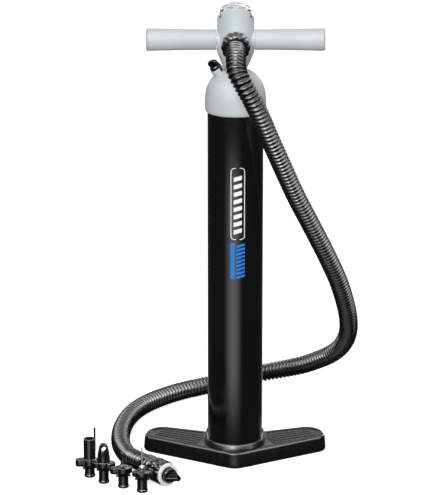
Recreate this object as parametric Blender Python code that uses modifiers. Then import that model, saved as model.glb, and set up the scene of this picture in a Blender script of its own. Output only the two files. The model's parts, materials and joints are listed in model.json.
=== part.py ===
"""A double action hand pump: a tall barrel on a chevron footplate, a T-handle with a gauge in its hub,
a corrugated delivery hose that leaves the hub, and four loose valve adapters that stand on the floor.

Metres, +Z up. The origin is at the middle of the footplate's sole, on the barrel's axis; -Y is the front,
where the hose leaves the hub, and +X is to the right. The handle is modelled pushed right down.
"""

import math

import bmesh
import bpy
from mathutils import Matrix, Vector

GAP = 0.0003
TAU = 2 * math.pi

# Footplate
SOLE_WALL = 0.003
WING_TOP = 0.023
WING_EDGE = 0.003
WING_DRAFT = 0.0012
NOSE_Y = -0.0525
WING_FRONT = (0.1285, 0.0231)
WING_BACK = (0.1175, 0.0705)
CROTCH_Y = 0.0313
OUTLINE_RADII = (0.020, 0.016, 0.024, 0.020, 0.024, 0.016)
POCKET_TOP = 0.019
DRUM_TOP = 0.0315
LUG_TOP = 0.039
COVER_THICK = 0.003
COVER_SCREWS = ((0.052, 0.010), (-0.052, 0.010), (0.098, 0.034), (-0.098, 0.034))
TREAD_RIBS = 5
TREAD_PITCH = 0.0078
TREAD_RECESS = 0.0012
TREAD_RIM = 0.0085
TREAD_START = 0.0440
TREAD_REACH = 0.0840
TREAD_LENGTH = 0.0660
TREAD_WIDTH = 0.0026
WING_ANGLE = math.radians(24.5)
WING_MIDDLE_Y = -0.0106

# Barrel and the plug in its lower end
BARREL_RADIUS = 0.0375
BARREL_BORE = 0.0353
BARREL_BOTTOM = 0.0035
BARREL_TOP = 0.5005
PLUG_BOTTOM = 0.0038
PLUG_TOP = 0.0200

# Cap
CAP_RADIUS = 0.041
CAP_RIM_Z = 0.4916
CAP_DOME_Z = 0.511
CAP_DOME_RADIUS = 0.0405
CAP_INNER_RADIUS = 0.0375
CAP_TOP = 0.5475
BUSH_RADIUS = 0.0125

# Rod, piston and travel
ROD_RADIUS = 0.009
ROD_BORE = 0.0065
ROD_BOTTOM = 0.0255
ROD_TOP = 0.5770
RUNNING_RADIUS = 0.0091
PISTON_BOTTOM = 0.0343
PISTON_TOP = 0.0600
BUMPER_TOP = 0.0680

# Handle
BAR_Z = 0.5883
BAR_RADIUS = 0.0085
HUB_RADIUS = 0.0245
HUB_BOTTOM = 0.5480
HUB_NECK = 0.0150
HUB_CONE_TOP = 0.5715
HUB_LIP = 0.6345
HUB_SHOULDER = 0.6195
HUB_SCREW_X = 0.0115
HUB_SCREW_Y = 0.0211
HUB_SCREW_Z = 0.5765
STUB_END = 0.0252
GRIP_START = 0.0255
GRIP_END = 0.1168
GRIP_ROOT_RADIUS = 0.0136
GRIP_TIP_RADIUS = 0.0149
END_CAP = 0.1188

# Gauge
CUP_RADIUS = 0.0218
CUP_FLOOR = 0.6060
CASE_RADIUS = 0.0205
CASE_TOP = 0.6225
BEZEL_RADIUS = 0.0211
BEZEL_TOP = 0.6325
DIAL_Z = 0.6252
DIAL_RADIUS = 0.0182
LENS_RIM = 0.0184
LENS_RISE = 0.0085

# Outlet port on the hub: the axis dips a little below the horizontal
PORT_POINT = Vector((0.0, -0.0245, 0.5885))
PORT_AXIS = Vector((0.0, -math.cos(math.radians(12)), -math.sin(math.radians(12))))
NUT_RADIUS = 0.0184
NUT_LOBE = 0.0008
NUT_LOBES = 12

# Filler neck on the cap and the plug in it
NECK_POINT = Vector((-0.0257, -0.0082, 0.5512))
NECK_AXIS = Vector((-0.535, -0.136, 0.834)).normalized()
NECK_RADIUS = 0.0078
NECK_BORE = 0.0062
STRAP_FOOT = -0.0050
TAB_TURN = -35.0
STRAP_TURN = math.radians(-50)

# Hose and the fittings on its far end
HOSE_RADIUS = 0.01325
END_POINT = Vector((-0.0924, -0.1133, 0.0175))
END_AXIS = Vector((0.6, -0.8, 0.0))
HOSE_ROUTE = (
    (0.0, -0.0600, 0.5806),
    (0.0, -0.0755, 0.5735),
    (0.0015, -0.0890, 0.5635),
    (0.0091, -0.0965, 0.5500),
    (0.0209, -0.0950, 0.5288),
    (0.0328, -0.0870, 0.5028),
    (0.0456, -0.0730, 0.4696),
    (0.0579, -0.0570, 0.4383),
    (0.0704, -0.0390, 0.4061),
    (0.0838, -0.0190, 0.3731),
    (0.0989, 0.0030, 0.3390),
    (0.1141, 0.0260, 0.3042),
    (0.1290, 0.0510, 0.2684),
    (0.1429, 0.0780, 0.2315),
    (0.1535, 0.1060, 0.1938),
    (0.1603, 0.1340, 0.1585),
    (0.1613, 0.1630, 0.1268),
    (0.1545, 0.1910, 0.0997),
    (0.1413, 0.2160, 0.0786),
    (0.1221, 0.2400, 0.0610),
    (0.0996, 0.2610, 0.0460),
    (0.0730, 0.2760, 0.0350),
    (0.0400, 0.2850, 0.0255),
    (0.0020, 0.2820, 0.0175),
    (-0.0438, 0.2610, 0.0138),
    (-0.0786, 0.2364, 0.0138),
    (-0.1101, 0.2042, 0.0138),
    (-0.1338, 0.1685, 0.0138),
    (-0.1497, 0.1258, 0.0138),
    (-0.1583, 0.0714, 0.0138),
    (-0.1576, 0.0144, 0.0138),
    (-0.1473, -0.0294, 0.0140),
    (-0.1370, -0.0500, 0.0155),
)
HOSE_POINTS = 50
HOSE_LEAD = 0.008

# Loose valve adapters: where each stands, and how far its wings are turned from +X
TUBE_SPOT, TUBE_TURN = Vector((-0.1972, -0.0755, 0.0)), math.radians(12)
CONE_SPOT, CONE_TURN = Vector((-0.1773, -0.0985, 0.0)), math.radians(-8)
STEM_SPOT, STEM_TURN = Vector((-0.1504, -0.1160, 0.0)), math.radians(10)
NEEDLE_SPOT, NEEDLE_TURN = Vector((-0.1247, -0.1330, 0.0)), math.radians(-6)
INSERT_RADIUS = 0.0068
INSERT_BORE = 0.0042
BEAD_RADIUS = 0.0075


def clear_scene():
    """Removes every object, so that the pump is alone in the file."""
    for obj in list(bpy.data.objects):
        bpy.data.objects.remove(obj, do_unlink=True)


def collection(name):
    """A new collection under the scene's own."""
    made = bpy.data.collections.new(name)
    bpy.context.scene.collection.children.link(made)
    return made


def finish(name, colour, roughness, metallic=0.0, alpha=1.0):
    """A Principled material of one finish."""
    made = bpy.data.materials.new(name)
    made.use_nodes = True
    shader = made.node_tree.nodes["Principled BSDF"]
    shader.inputs["Base Color"].default_value = (*colour, 1.0)
    shader.inputs["Roughness"].default_value = roughness
    shader.inputs["Metallic"].default_value = metallic
    shader.inputs["Alpha"].default_value = alpha
    return made


clear_scene()
PUMP = collection("hand_pump")
CUTTERS = collection("cutters")
CUTTERS.hide_render = True

GREY = finish("grey_plastic", (0.56, 0.60, 0.62), 0.42)
GRIP_GREY = finish("grip_grey", (0.62, 0.66, 0.68), 0.5)
GLOSS_BLACK = finish("barrel_black", (0.006, 0.006, 0.007), 0.16)
BLACK = finish("moulded_black", (0.012, 0.012, 0.014), 0.38)
HOSE_BLACK = finish("hose_black", (0.008, 0.008, 0.009), 0.25)
RUBBER = finish("seal_rubber", (0.02, 0.02, 0.02), 0.7)
PALE_SEAL = finish("pale_seal", (0.82, 0.83, 0.84), 0.45)
STEEL = finish("steel", (0.62, 0.63, 0.65), 0.25, metallic=1.0)
CHROME = finish("chrome", (0.8, 0.8, 0.82), 0.08, metallic=1.0)
DIAL_WHITE = finish("dial_white", (0.85, 0.86, 0.88), 0.5)
CLEAR = finish("clear_lens", (0.9, 0.92, 0.94), 0.05, alpha=0.3)
RED = finish("needle_red", (0.6, 0.03, 0.02), 0.4)


def aim(axis):
    """The shortest turn that lays +Z along an axis."""
    return Vector((0.0, 0.0, 1.0)).rotation_difference(Vector(axis))


def empty(name, point=(0.0, 0.0, 0.0), axis=(0.0, 0.0, 1.0)):
    """An empty whose local Z lies along an axis: the place of one moving body."""
    made = bpy.data.objects.new(name, None)
    made.rotation_mode = "QUATERNION"
    made.location = point
    made.rotation_quaternion = aim(axis)
    made.empty_display_size = 0.02
    PUMP.objects.link(made)
    return made


FRAME = empty("pump_frame")
HANDLE = empty("handle_axis", (0.0, 0.0, BAR_Z))
NEEDLE = empty("gauge_needle_axis", (0.0, 0.0, DIAL_Z))
PORT = empty("port_axis", PORT_POINT, PORT_AXIS)
NECK = empty("neck_axis", NECK_POINT, NECK_AXIS)
END = empty("hose_end_axis", END_POINT, END_AXIS)


def stand(name, mesh, material, place):
    """Adds an object that stands in the frame of an empty."""
    obj = bpy.data.objects.new(name, mesh)
    if material:
        mesh.materials.append(material)
        PUMP.objects.link(obj)
    else:
        CUTTERS.objects.link(obj)
        obj.hide_render = True
        obj.display_type = "WIRE"
    obj.parent = place
    return obj


def turned(name, profile, material, place=FRAME, steps=32, at=(0.0, 0.0, 0.0), ring=False):
    """A turned solid: a profile of (radius, z) down its outer side, top to bottom, swept about Z.

    A ring's profile comes back up its inner side and closes on itself.
    """
    work = bmesh.new()
    points = [work.verts.new((radius, 0.0, z)) for radius, z in profile]
    for first, second in zip(points, points[1:]):
        work.edges.new((first, second))
    if ring:
        work.edges.new((points[-1], points[0]))
    mesh = bpy.data.meshes.new(name)
    work.to_mesh(mesh)
    work.free()
    obj = stand(name, mesh, material, place)
    obj.location = at
    screw = obj.modifiers.new("turn", "SCREW")
    screw.steps = screw.render_steps = steps
    screw.use_merge_vertices = True
    screw.merge_threshold = 1e-6
    screw.use_smooth_shade = True
    return obj


def tube(name, outer, inner, low, high, material, place=FRAME, steps=32, at=(0.0, 0.0, 0.0)):
    """A plain ring or sleeve."""
    profile = ((outer, high), (outer, low), (inner, low), (inner, high))
    return turned(name, profile, material, place, steps, at, ring=True)


def rod(name, radius, low, high, material, place=FRAME, steps=24, at=(0.0, 0.0, 0.0)):
    """A plain solid cylinder."""
    profile = ((0.0, high), (radius, high), (radius, low), (0.0, low))
    return turned(name, profile, material, place, steps, at)


def lie_along(obj, axis, at=(0.0, 0.0, 0.0)):
    """Turns an object's local Z along an axis of its parent's frame."""
    obj.rotation_mode = "QUATERNION"
    obj.rotation_quaternion = aim(axis)
    obj.location = at
    return obj


def block(name, size, at, material=None, place=FRAME, turn=0.0):
    """A box, turned about Z."""
    work = bmesh.new()
    bmesh.ops.create_cube(work, size=1.0, matrix=Matrix.Diagonal((*size, 1.0)))
    mesh = bpy.data.meshes.new(name)
    work.to_mesh(mesh)
    work.free()
    obj = stand(name, mesh, material, place)
    obj.location = at
    obj.rotation_euler = (0.0, 0.0, turn)
    return obj


def lofted(name, rings, material, place=FRAME):
    """A closed solid through rings of equal count, each (z, outline), lowest first."""
    work = bmesh.new()
    rows = [[work.verts.new((x, y, z)) for x, y in outline] for z, outline in rings]
    count = len(rows[0])
    for low, high in zip(rows, rows[1:]):
        for i in range(count):
            j = (i + 1) % count
            work.faces.new((low[i], low[j], high[j], high[i]))
    work.faces.new(list(reversed(rows[0])))
    work.faces.new(rows[-1])
    bmesh.ops.recalc_face_normals(work, faces=work.faces)
    mesh = bpy.data.meshes.new(name)
    work.to_mesh(mesh)
    work.free()
    return stand(name, mesh, material, place)


def boolean(target, other, operation):
    """Joins a helper to a solid, or cuts it away."""
    step = target.modifiers.new(other.name, "BOOLEAN")
    step.operation = operation
    step.object = other
    step.solver = "EXACT"
    return target


def cut(target, *others):
    """Cuts helpers away from a solid."""
    for other in others:
        boolean(target, other, "DIFFERENCE")
    return target


def join(target, *others):
    """Joins helpers to a solid."""
    for other in others:
        boolean(target, other, "UNION")
    return target


def arc(centre, radius, start, end, steps):
    """Points of an arc in a plane, from one angle to another."""
    cx, cy = centre
    angles = [start + (end - start) * i / steps for i in range(steps + 1)]
    return [(cx + radius * math.cos(a), cy + radius * math.sin(a)) for a in angles]


def inset_corners(corners, distance):
    """The corners of a polygon whose sides have moved inwards; the corners run anticlockwise."""
    moved = []
    count = len(corners)
    for i, corner in enumerate(corners):
        before = (Vector(corner) - Vector(corners[i - 1])).normalized()
        after = (Vector(corners[(i + 1) % count]) - Vector(corner)).normalized()
        inward = Vector((-before.y, before.x)) + Vector((-after.y, after.x))
        moved.append(Vector(corner) + inward * distance / (1 + before.dot(after)))
    return moved


def rounded(corners, radii, steps=4):
    """The outline of a polygon with an arc at each corner."""
    points = []
    count = len(corners)
    for i, radius in enumerate(radii):
        corner = Vector(corners[i])
        back = (Vector(corners[i - 1]) - corner).normalized()
        ahead = (Vector(corners[(i + 1) % count]) - corner).normalized()
        half = back.angle(ahead) / 2
        reach = radius / math.tan(half)
        centre = corner + (back + ahead).normalized() * radius / math.sin(half)
        first = corner + back * reach - centre
        last = corner + ahead * reach - centre
        sweep = first.angle_signed(last)
        for step in range(steps + 1):
            turned_by = Matrix.Rotation(-sweep * step / steps, 2)
            points.append(tuple(centre + turned_by @ first))
    return points


def chevron(inset=0.0):
    """The footplate's outline, moved inwards by a distance."""
    (fx, fy), (bx, by) = WING_FRONT, WING_BACK
    corners = [(0.0, NOSE_Y), (fx, fy), (bx, by), (0.0, CROTCH_Y), (-bx, by), (-fx, fy)]
    signs = (-1, -1, -1, 1, -1, -1)
    radii = [radius + sign * inset for radius, sign in zip(OUTLINE_RADII, signs)]
    return rounded(inset_corners(corners, inset), radii)


def lobed(radius, lobe, count, per_lobe=4):
    """A round outline with soft lobes."""
    total = count * per_lobe
    angles = [TAU * i / total for i in range(total)]
    sizes = [radius + lobe * math.cos(count * a) for a in angles]
    return [(size * math.cos(a), size * math.sin(a)) for size, a in zip(sizes, angles)]


def stadium(length, width, steps=6):
    """A slot-shaped outline along X."""
    half = (length - width) / 2
    right = arc((half, 0.0), width / 2, -math.pi / 2, math.pi / 2, steps)
    left = arc((-half, 0.0), width / 2, math.pi / 2, 3 * math.pi / 2, steps)
    return right + left


def screw_piece(name, at, axis=(0.0, 0.0, 1.0), length=0.012, place=FRAME):
    """A pan-head screw: its head's slotted face is at a point, and its shank runs along an axis."""
    head = 0.0032
    shank = 0.0014
    side = ((shank, length), (shank, 0.0018), (head, 0.0018), (head, 0.0004), (head * 0.8, 0.0))
    piece = turned(name, [(0.0, length), *side, (0.0, 0.0)], STEEL, place, 12)
    slot = block(name + "_slot", (head * 1.3, 0.0007, 0.0012), (0.0, 0.0, 0.0), None, place)
    for part in (piece, slot):
        lie_along(part, axis, at)
    cut(piece, slot)


def wing_point(side, along, across):
    """A point on a wing's top: along it from the barrel's axis, and across it from its middle line."""
    x = along * math.cos(WING_ANGLE) - across * math.sin(WING_ANGLE)
    y = WING_MIDDLE_Y + along * math.sin(WING_ANGLE) + across * math.cos(WING_ANGLE)
    return (side * x, y)


def build_footplate():
    """The moulded foot with treads on its wings, the sole cover under it and the cover's screws."""
    rise = WING_TOP - WING_EDGE
    rings = [(0.0, chevron(0.0)), (rise, chevron(WING_DRAFT))]
    for step in (1, 2, 3):
        angle = math.pi / 2 * step / 3
        inset = WING_DRAFT + WING_EDGE * (1 - math.cos(angle))
        rings.append((rise + WING_EDGE * math.sin(angle), chevron(inset)))
    foot = lofted("base_foot", rings, BLACK)

    drum_side = (
        (0.0388, DRUM_TOP),
        (0.0400, 0.0300),
        (0.0412, 0.0272),
        (0.0424, 0.0235),
        (0.0439, 0.0120),
        (0.0443, 0.0001),
    )
    drum = turned("drum_form", [(0.0, DRUM_TOP), *drum_side, (0.0, 0.0001)], None, steps=32)
    lug = tube("lug_form", 0.0397, 0.0365, 0.0262, LUG_TOP, None, steps=32)
    lug_front = block("lug_front", (0.2, 0.06, 0.03), (0.0, -0.0385, 0.046))
    lug_front.rotation_euler = (math.radians(-32), 0.0, 0.0)
    cut(lug, lug_front)
    bore = rod("bore_form", BARREL_RADIUS + GAP, -0.01, 0.05, None, steps=32)

    outline = chevron(SOLE_WALL)
    pocket = lofted("pocket_form", [(-0.001, outline), (POCKET_TOP, outline)], None)
    core = rod("pocket_core", 0.0420, COVER_THICK + GAP, 0.03, None, steps=32)
    cut(pocket, core)
    join(foot, drum, lug)
    cut(foot, pocket, bore)
    for index, (x, y) in enumerate(COVER_SCREWS):
        spot = (x, y, 0.0)
        low = COVER_THICK + GAP
        boss = rod(f"boss_form_{index}", 0.0042, low, POCKET_TOP + 0.001, None, at=spot, steps=16)
        pilot = rod(f"pilot_form_{index}", 0.0017, 0.0, 0.0150, None, at=spot, steps=12)
        join(foot, boss)
        cut(foot, pilot)

    outline = chevron(TREAD_RIM)
    levels = (WING_TOP - TREAD_RECESS, WING_TOP + 0.002)
    recess = lofted("recess_form", [(level, outline) for level in levels], None)
    cut(recess, block("recess_middle", (2 * TREAD_START, 0.3, 0.1), (0.0, 0.0, 0.0)))
    cut(foot, recess)
    for side in (-1, 1):
        for rib in range(TREAD_RIBS):
            across = (rib - (TREAD_RIBS - 1) / 2) * TREAD_PITCH
            x, y = wing_point(side, TREAD_REACH, across)
            size = (TREAD_LENGTH - 0.0035 * abs(across) / TREAD_PITCH, TREAD_WIDTH, 0.0030)
            spot = (x, y, WING_TOP - 0.0017)
            join(foot, block(f"rib_form_{side}_{rib}", size, spot, turn=side * WING_ANGLE))

    outline = chevron(SOLE_WALL + GAP)
    cover = lofted("base_cover", [(0.0, outline), (COVER_THICK, outline)], BLACK)
    for hole in range(6):
        angle = TAU * hole / 6
        spot = (0.022 * math.cos(angle), 0.022 * math.sin(angle), 0.0)
        cut(cover, rod(f"inlet_form_{hole}", 0.0028, -0.01, 0.01, None, at=spot, steps=8))
    for index, (x, y) in enumerate(COVER_SCREWS):
        cut(cover, rod(f"clear_form_{index}", 0.0017, -0.01, 0.01, None, at=(x, y, 0.0), steps=12))
        cut(cover, rod(f"sink_form_{index}", 0.0036, -0.01, 0.0021, None, at=(x, y, 0.0), steps=16))
        screw_piece(f"cover_screw_{index + 1}", (x, y, 0.0001))


def build_barrel():
    """The barrel, and in its lower end the foot plug with its seal, its intake flap and the rivet."""
    tube("barrel", BARREL_RADIUS, BARREL_BORE, BARREL_BOTTOM, BARREL_TOP, GLOSS_BLACK, steps=32)
    groove = 0.0320
    plug_side = (
        (0.0349, PLUG_TOP),
        (0.0349, 0.0150),
        (groove, 0.0150),
        (groove, 0.0110),
        (0.0349, 0.0110),
        (0.0349, PLUG_BOTTOM),
    )
    plug = turned("foot_plug", [(0.0, PLUG_TOP), *plug_side, (0.0, PLUG_BOTTOM)], BLACK, steps=36)
    for hole in range(6):
        angle = TAU * (hole + 0.5) / 6
        spot = (0.015 * math.cos(angle), 0.015 * math.sin(angle), 0.0)
        cut(plug, rod(f"plug_port_{hole}", 0.0035, 0.0, 0.03, None, at=spot, steps=8))
    cut(plug, rod("plug_rivet_hole", 0.0028, 0.0, 0.03, None, steps=12))
    tube("foot_plug_oring", 0.0351, groove + GAP, 0.0113, 0.0147, RUBBER, steps=36)
    tube("intake_flap", 0.0215, 0.0030, PLUG_TOP + GAP, PLUG_TOP + 0.0015, RUBBER, steps=20)
    rivet_side = (
        (0.0045, 0.0236),
        (0.0060, 0.0228),
        (0.0060, 0.0218),
        (0.0025, 0.0218),
        (0.0025, 0.0060),
    )
    turned("flap_rivet", [(0.0, 0.0236), *rivet_side, (0.0, 0.0060)], BLACK, steps=16)


def build_cap():
    """The domed cap with its filler neck, and what it holds: seals, rod bush and the upper intake valve."""
    dome = arc((0.0, CAP_DOME_Z), CAP_DOME_RADIUS, math.radians(64.3), math.radians(6), 5)
    dome[0] = (dome[0][0], CAP_TOP)
    inner = arc((0.0, CAP_DOME_Z), CAP_INNER_RADIUS, math.radians(24.6), math.radians(62), 3)
    profile = [
        (BUSH_RADIUS + GAP, CAP_TOP),
        *dome,
        (CAP_RADIUS, 0.5080),
        (CAP_RADIUS, 0.4945),
        (0.0405, 0.4925),
        (0.0397, CAP_RIM_Z),
        (0.0378, CAP_RIM_Z),
        (0.0378, 0.4960),
        (0.0392, 0.4960),
        (0.0392, 0.4990),
        (0.0378, 0.4990),
        (0.0378, 0.5010),
        (0.0341, 0.5010),
        *inner,
        (0.0150, 0.5330),
        (0.0150, 0.5250),
        (BUSH_RADIUS + GAP, 0.5250),
    ]
    cap = turned("cap", profile, GREY, steps=32, ring=True)
    neck_side = (
        (0.0084, 0.0),
        (0.0090, -0.0008),
        (0.0090, -0.0040),
        (NECK_RADIUS, -0.0048),
        (NECK_RADIUS + 0.0004, -0.0120),
        (NECK_RADIUS + 0.0030, -0.0150),
    )
    neck = turned("neck_form", [(0.0, 0.0), *neck_side, (0.0, -0.0150)], None, NECK, steps=24)
    boss = rod("strap_boss_form", 0.0020, 0.0, 0.0030, None, NECK, 12)
    lie_along(boss, (1.0, 0.0, 0.0), (0.0086, 0.0, -0.0024))
    drill = rod("neck_bore_form", NECK_BORE, -0.0132, 0.01, None, NECK, 20)
    middle = rod("bush_space_form", BUSH_RADIUS + GAP, 0.5200, 0.56, None, steps=32)
    join(cap, neck)
    cut(cap, drill, middle)

    tube("cap_oring", 0.0389, BARREL_RADIUS + GAP, 0.4964, 0.4986, RUBBER, steps=36)
    bush_side = ((BUSH_RADIUS, CAP_TOP - 0.0005), (BUSH_RADIUS, 0.5313), (RUNNING_RADIUS, 0.5313))
    turned("guide_bush", [*bush_side, (RUNNING_RADIUS, CAP_TOP - 0.0005)], BLACK, steps=24, ring=True)
    seal = (
        (BUSH_RADIUS, 0.5310),
        (BUSH_RADIUS, 0.5256),
        (0.0104, 0.5256),
        (RUNNING_RADIUS, 0.5275),
        (RUNNING_RADIUS, 0.5310),
    )
    turned("rod_seal", seal, RUBBER, steps=24, ring=True)

    plate = tube("cap_valve_plate", 0.0336, 0.0102, 0.5013, 0.5045, BLACK, steps=24)
    for hole in range(6):
        angle = TAU * hole / 6
        spot = (0.021 * math.cos(angle), 0.021 * math.sin(angle), 0.0)
        cut(plate, rod(f"plate_port_{hole}", 0.0040, 0.49, 0.52, None, at=spot, steps=8))
    tube("upper_intake_flap", 0.0285, 0.0110, 0.4998, 0.5010, RUBBER, steps=20)


def build_piston():
    """The hollow rod and the piston on its lower end."""
    tube("piston_rod", ROD_RADIUS, ROD_BORE, ROD_BOTTOM, ROD_TOP, STEEL, HANDLE, 28, (0.0, 0.0, -BAR_Z))
    lift = (0.0, 0.0, -BAR_Z)
    inner = ROD_RADIUS + GAP
    groove = 0.0318
    side = (
        (0.0340, PISTON_TOP),
        (0.0347, PISTON_TOP - 0.0007),
        (0.0347, 0.0510),
        (groove, 0.0510),
        (groove, 0.0450),
        (0.0347, 0.0450),
        (0.0347, PISTON_BOTTOM + 0.0007),
        (0.0340, PISTON_BOTTOM),
    )
    profile = [(inner, PISTON_TOP), *side, (inner, PISTON_BOTTOM)]
    piston = turned("piston", profile, BLACK, HANDLE, 24, lift, ring=True)
    for hole in range(6):
        angle = TAU * hole / 6
        spot = (0.0215 * math.cos(angle), 0.0215 * math.sin(angle), -BAR_Z)
        cut(piston, rod(f"piston_port_{hole}", 0.0035, 0.02, 0.07, None, HANDLE, 8, spot))
    tube("piston_seal", 0.0351, groove + GAP, 0.0453, 0.0507, RUBBER, HANDLE, 24, lift)
    tube("piston_flap", 0.0290, 0.0096, 0.0328, 0.0340, RUBBER, HANDLE, 20, lift)
    tube("piston_bumper", 0.0160, inner, PISTON_TOP + GAP, BUMPER_TOP, RUBBER, HANDLE, 20, lift)
    nut = tube("piston_nut", 0.0145, inner, 0.0262, 0.0325, STEEL, HANDLE, 6, lift)
    cut(nut, rod("nut_bore_form", inner, 0.02, 0.04, None, HANDLE, 20, lift))


def build_hub():
    """The handle's hub: a funnel that widens to a round body, with the gauge cup in its top."""
    lift = (0.0, 0.0, -BAR_Z)
    side = (
        (HUB_RADIUS - 0.0012, HUB_LIP),
        (HUB_RADIUS, HUB_LIP - 0.0015),
        (HUB_RADIUS, HUB_CONE_TOP),
        (0.0203, 0.5606),
        (0.0175, 0.5546),
        (HUB_NECK, HUB_BOTTOM + 0.0008),
        (HUB_NECK - 0.0008, HUB_BOTTOM),
    )
    hub = turned("handle_hub", [(0.0, HUB_LIP), *side, (0.0, HUB_BOTTOM)], GREY, HANDLE, 32, lift)
    across = (1.0, 0.0, 0.0)
    stub = rod("stub_form", GRIP_ROOT_RADIUS, -STUB_END, STUB_END, None, HANDLE, 28)
    lie_along(stub, across)
    boss = rod("port_boss_form", 0.0170, -0.0140, 0.0020, None, PORT, 28)
    join(hub, stub, boss)

    cup = rod("cup_form", CUP_RADIUS, CUP_FLOOR, 0.66, None, HANDLE, 28, lift)
    shoulder = HUB_SHOULDER + 0.020 - BAR_Z
    behind = block("lip_back_form", (0.07, 0.060, 0.04), (0.0, 0.024, shoulder), place=HANDLE)
    cut(hub, cup, behind)
    for side_sign in (-1, 1):
        flank = block(f"lip_flank_form_{side_sign}", (0.040, 0.060, 0.040), (0.0, 0.0, 0.0), place=HANDLE)
        flank.rotation_euler = (0.0, math.radians(45) * side_sign, 0.0)
        flank.location = (side_sign * 0.0306, -0.028, HUB_LIP + 0.0094 - BAR_Z)
        cut(hub, flank)
        level = block(f"lip_level_form_{side_sign}", (0.020, 0.060, 0.040), (0.0, 0.0, 0.0), place=HANDLE)
        level.location = (side_sign * 0.0295, -0.02, shoulder)
        cut(hub, level)

    socket = rod("rod_socket_form", ROD_RADIUS + GAP, 0.54, ROD_TOP + GAP, None, HANDLE, 28, lift)
    tunnel = rod("bar_tunnel_form", BAR_RADIUS + GAP, -0.05, 0.05, None, HANDLE, 32)
    lie_along(tunnel, across)
    pocket = rod("spigot_pocket_form", 0.0121, -0.0098, 0.05, None, PORT, 28)
    stem = rod("stem_hole_form", 0.0020, -0.0100, 0.03, None, HANDLE, 12, (0.0, -0.0128, 0.0))
    passage = rod("passage_form", 0.0034, -0.0020, 0.0190, None, HANDLE, 12)
    lie_along(passage, (0.0, -0.6156, 0.788), (0.0, -0.0040, 0.5720 - BAR_Z))
    seat = rod("nut_seat_form", 0.0204, 0.0021, 0.05, None, PORT, 32)
    cut(hub, socket, tunnel, pocket, stem, passage, seat)
    inward = (0.0, -1.0, 0.0)
    for index, x in enumerate((-HUB_SCREW_X, HUB_SCREW_X)):
        spot = Vector((x, HUB_SCREW_Y, HUB_SCREW_Z - BAR_Z))
        hole = rod(f"hub_pilot_{index}", 0.0017, -0.01, 0.012, None, HANDLE, 10)
        sink = rod(f"hub_sink_{index}", 0.0036, -0.01, 0.0020, None, HANDLE, 16)
        cut(hub, lie_along(hole, inward, spot), lie_along(sink, inward, spot))
        head_spot = spot + Vector((0.0, 0.0001, 0.0))
        screw_piece(f"hub_screw_{index + 1}", head_spot, inward, 0.0105, HANDLE)


def build_grips():
    """The cross bar, a flared grip on each side of the hub, and the flat cap in each grip's end."""
    bar = tube("cross_bar", BAR_RADIUS, 0.0065, -0.1140, 0.1140, STEEL, HANDLE, 20)
    lie_along(bar, (1.0, 0.0, 0.0))
    inner = BAR_RADIUS + GAP
    for side, word in ((-1.0, "left"), (1.0, "right")):
        profile = [
            (GRIP_TIP_RADIUS, GRIP_END),
            (GRIP_TIP_RADIUS - 0.0002, GRIP_END - 0.012),
            (0.0141, 0.0760),
            (GRIP_ROOT_RADIUS, 0.0420),
            (GRIP_ROOT_RADIUS, GRIP_START),
            (inner, GRIP_START),
            (inner, GRIP_END),
        ]
        grip = turned(f"{word}_grip", profile, GRIP_GREY, HANDLE, 28, ring=True)
        lie_along(grip, (side, 0.0, 0.0))
        cap_side = (
            (GRIP_TIP_RADIUS - 0.0016, END_CAP),
            (GRIP_TIP_RADIUS - 0.0004, END_CAP - 0.0005),
            (GRIP_TIP_RADIUS, END_CAP - 0.0015),
            (GRIP_TIP_RADIUS, GRIP_END + GAP),
            (0.0060, GRIP_END + GAP),
            (0.0060, 0.1070),
        )
        profile = [(0.0, END_CAP), *cap_side, (0.0, 0.1070)]
        end_cap = turned(f"{word}_end_cap", profile, GRIP_GREY, HANDLE, 28)
        lie_along(end_cap, (side, 0.0, 0.0))


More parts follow.
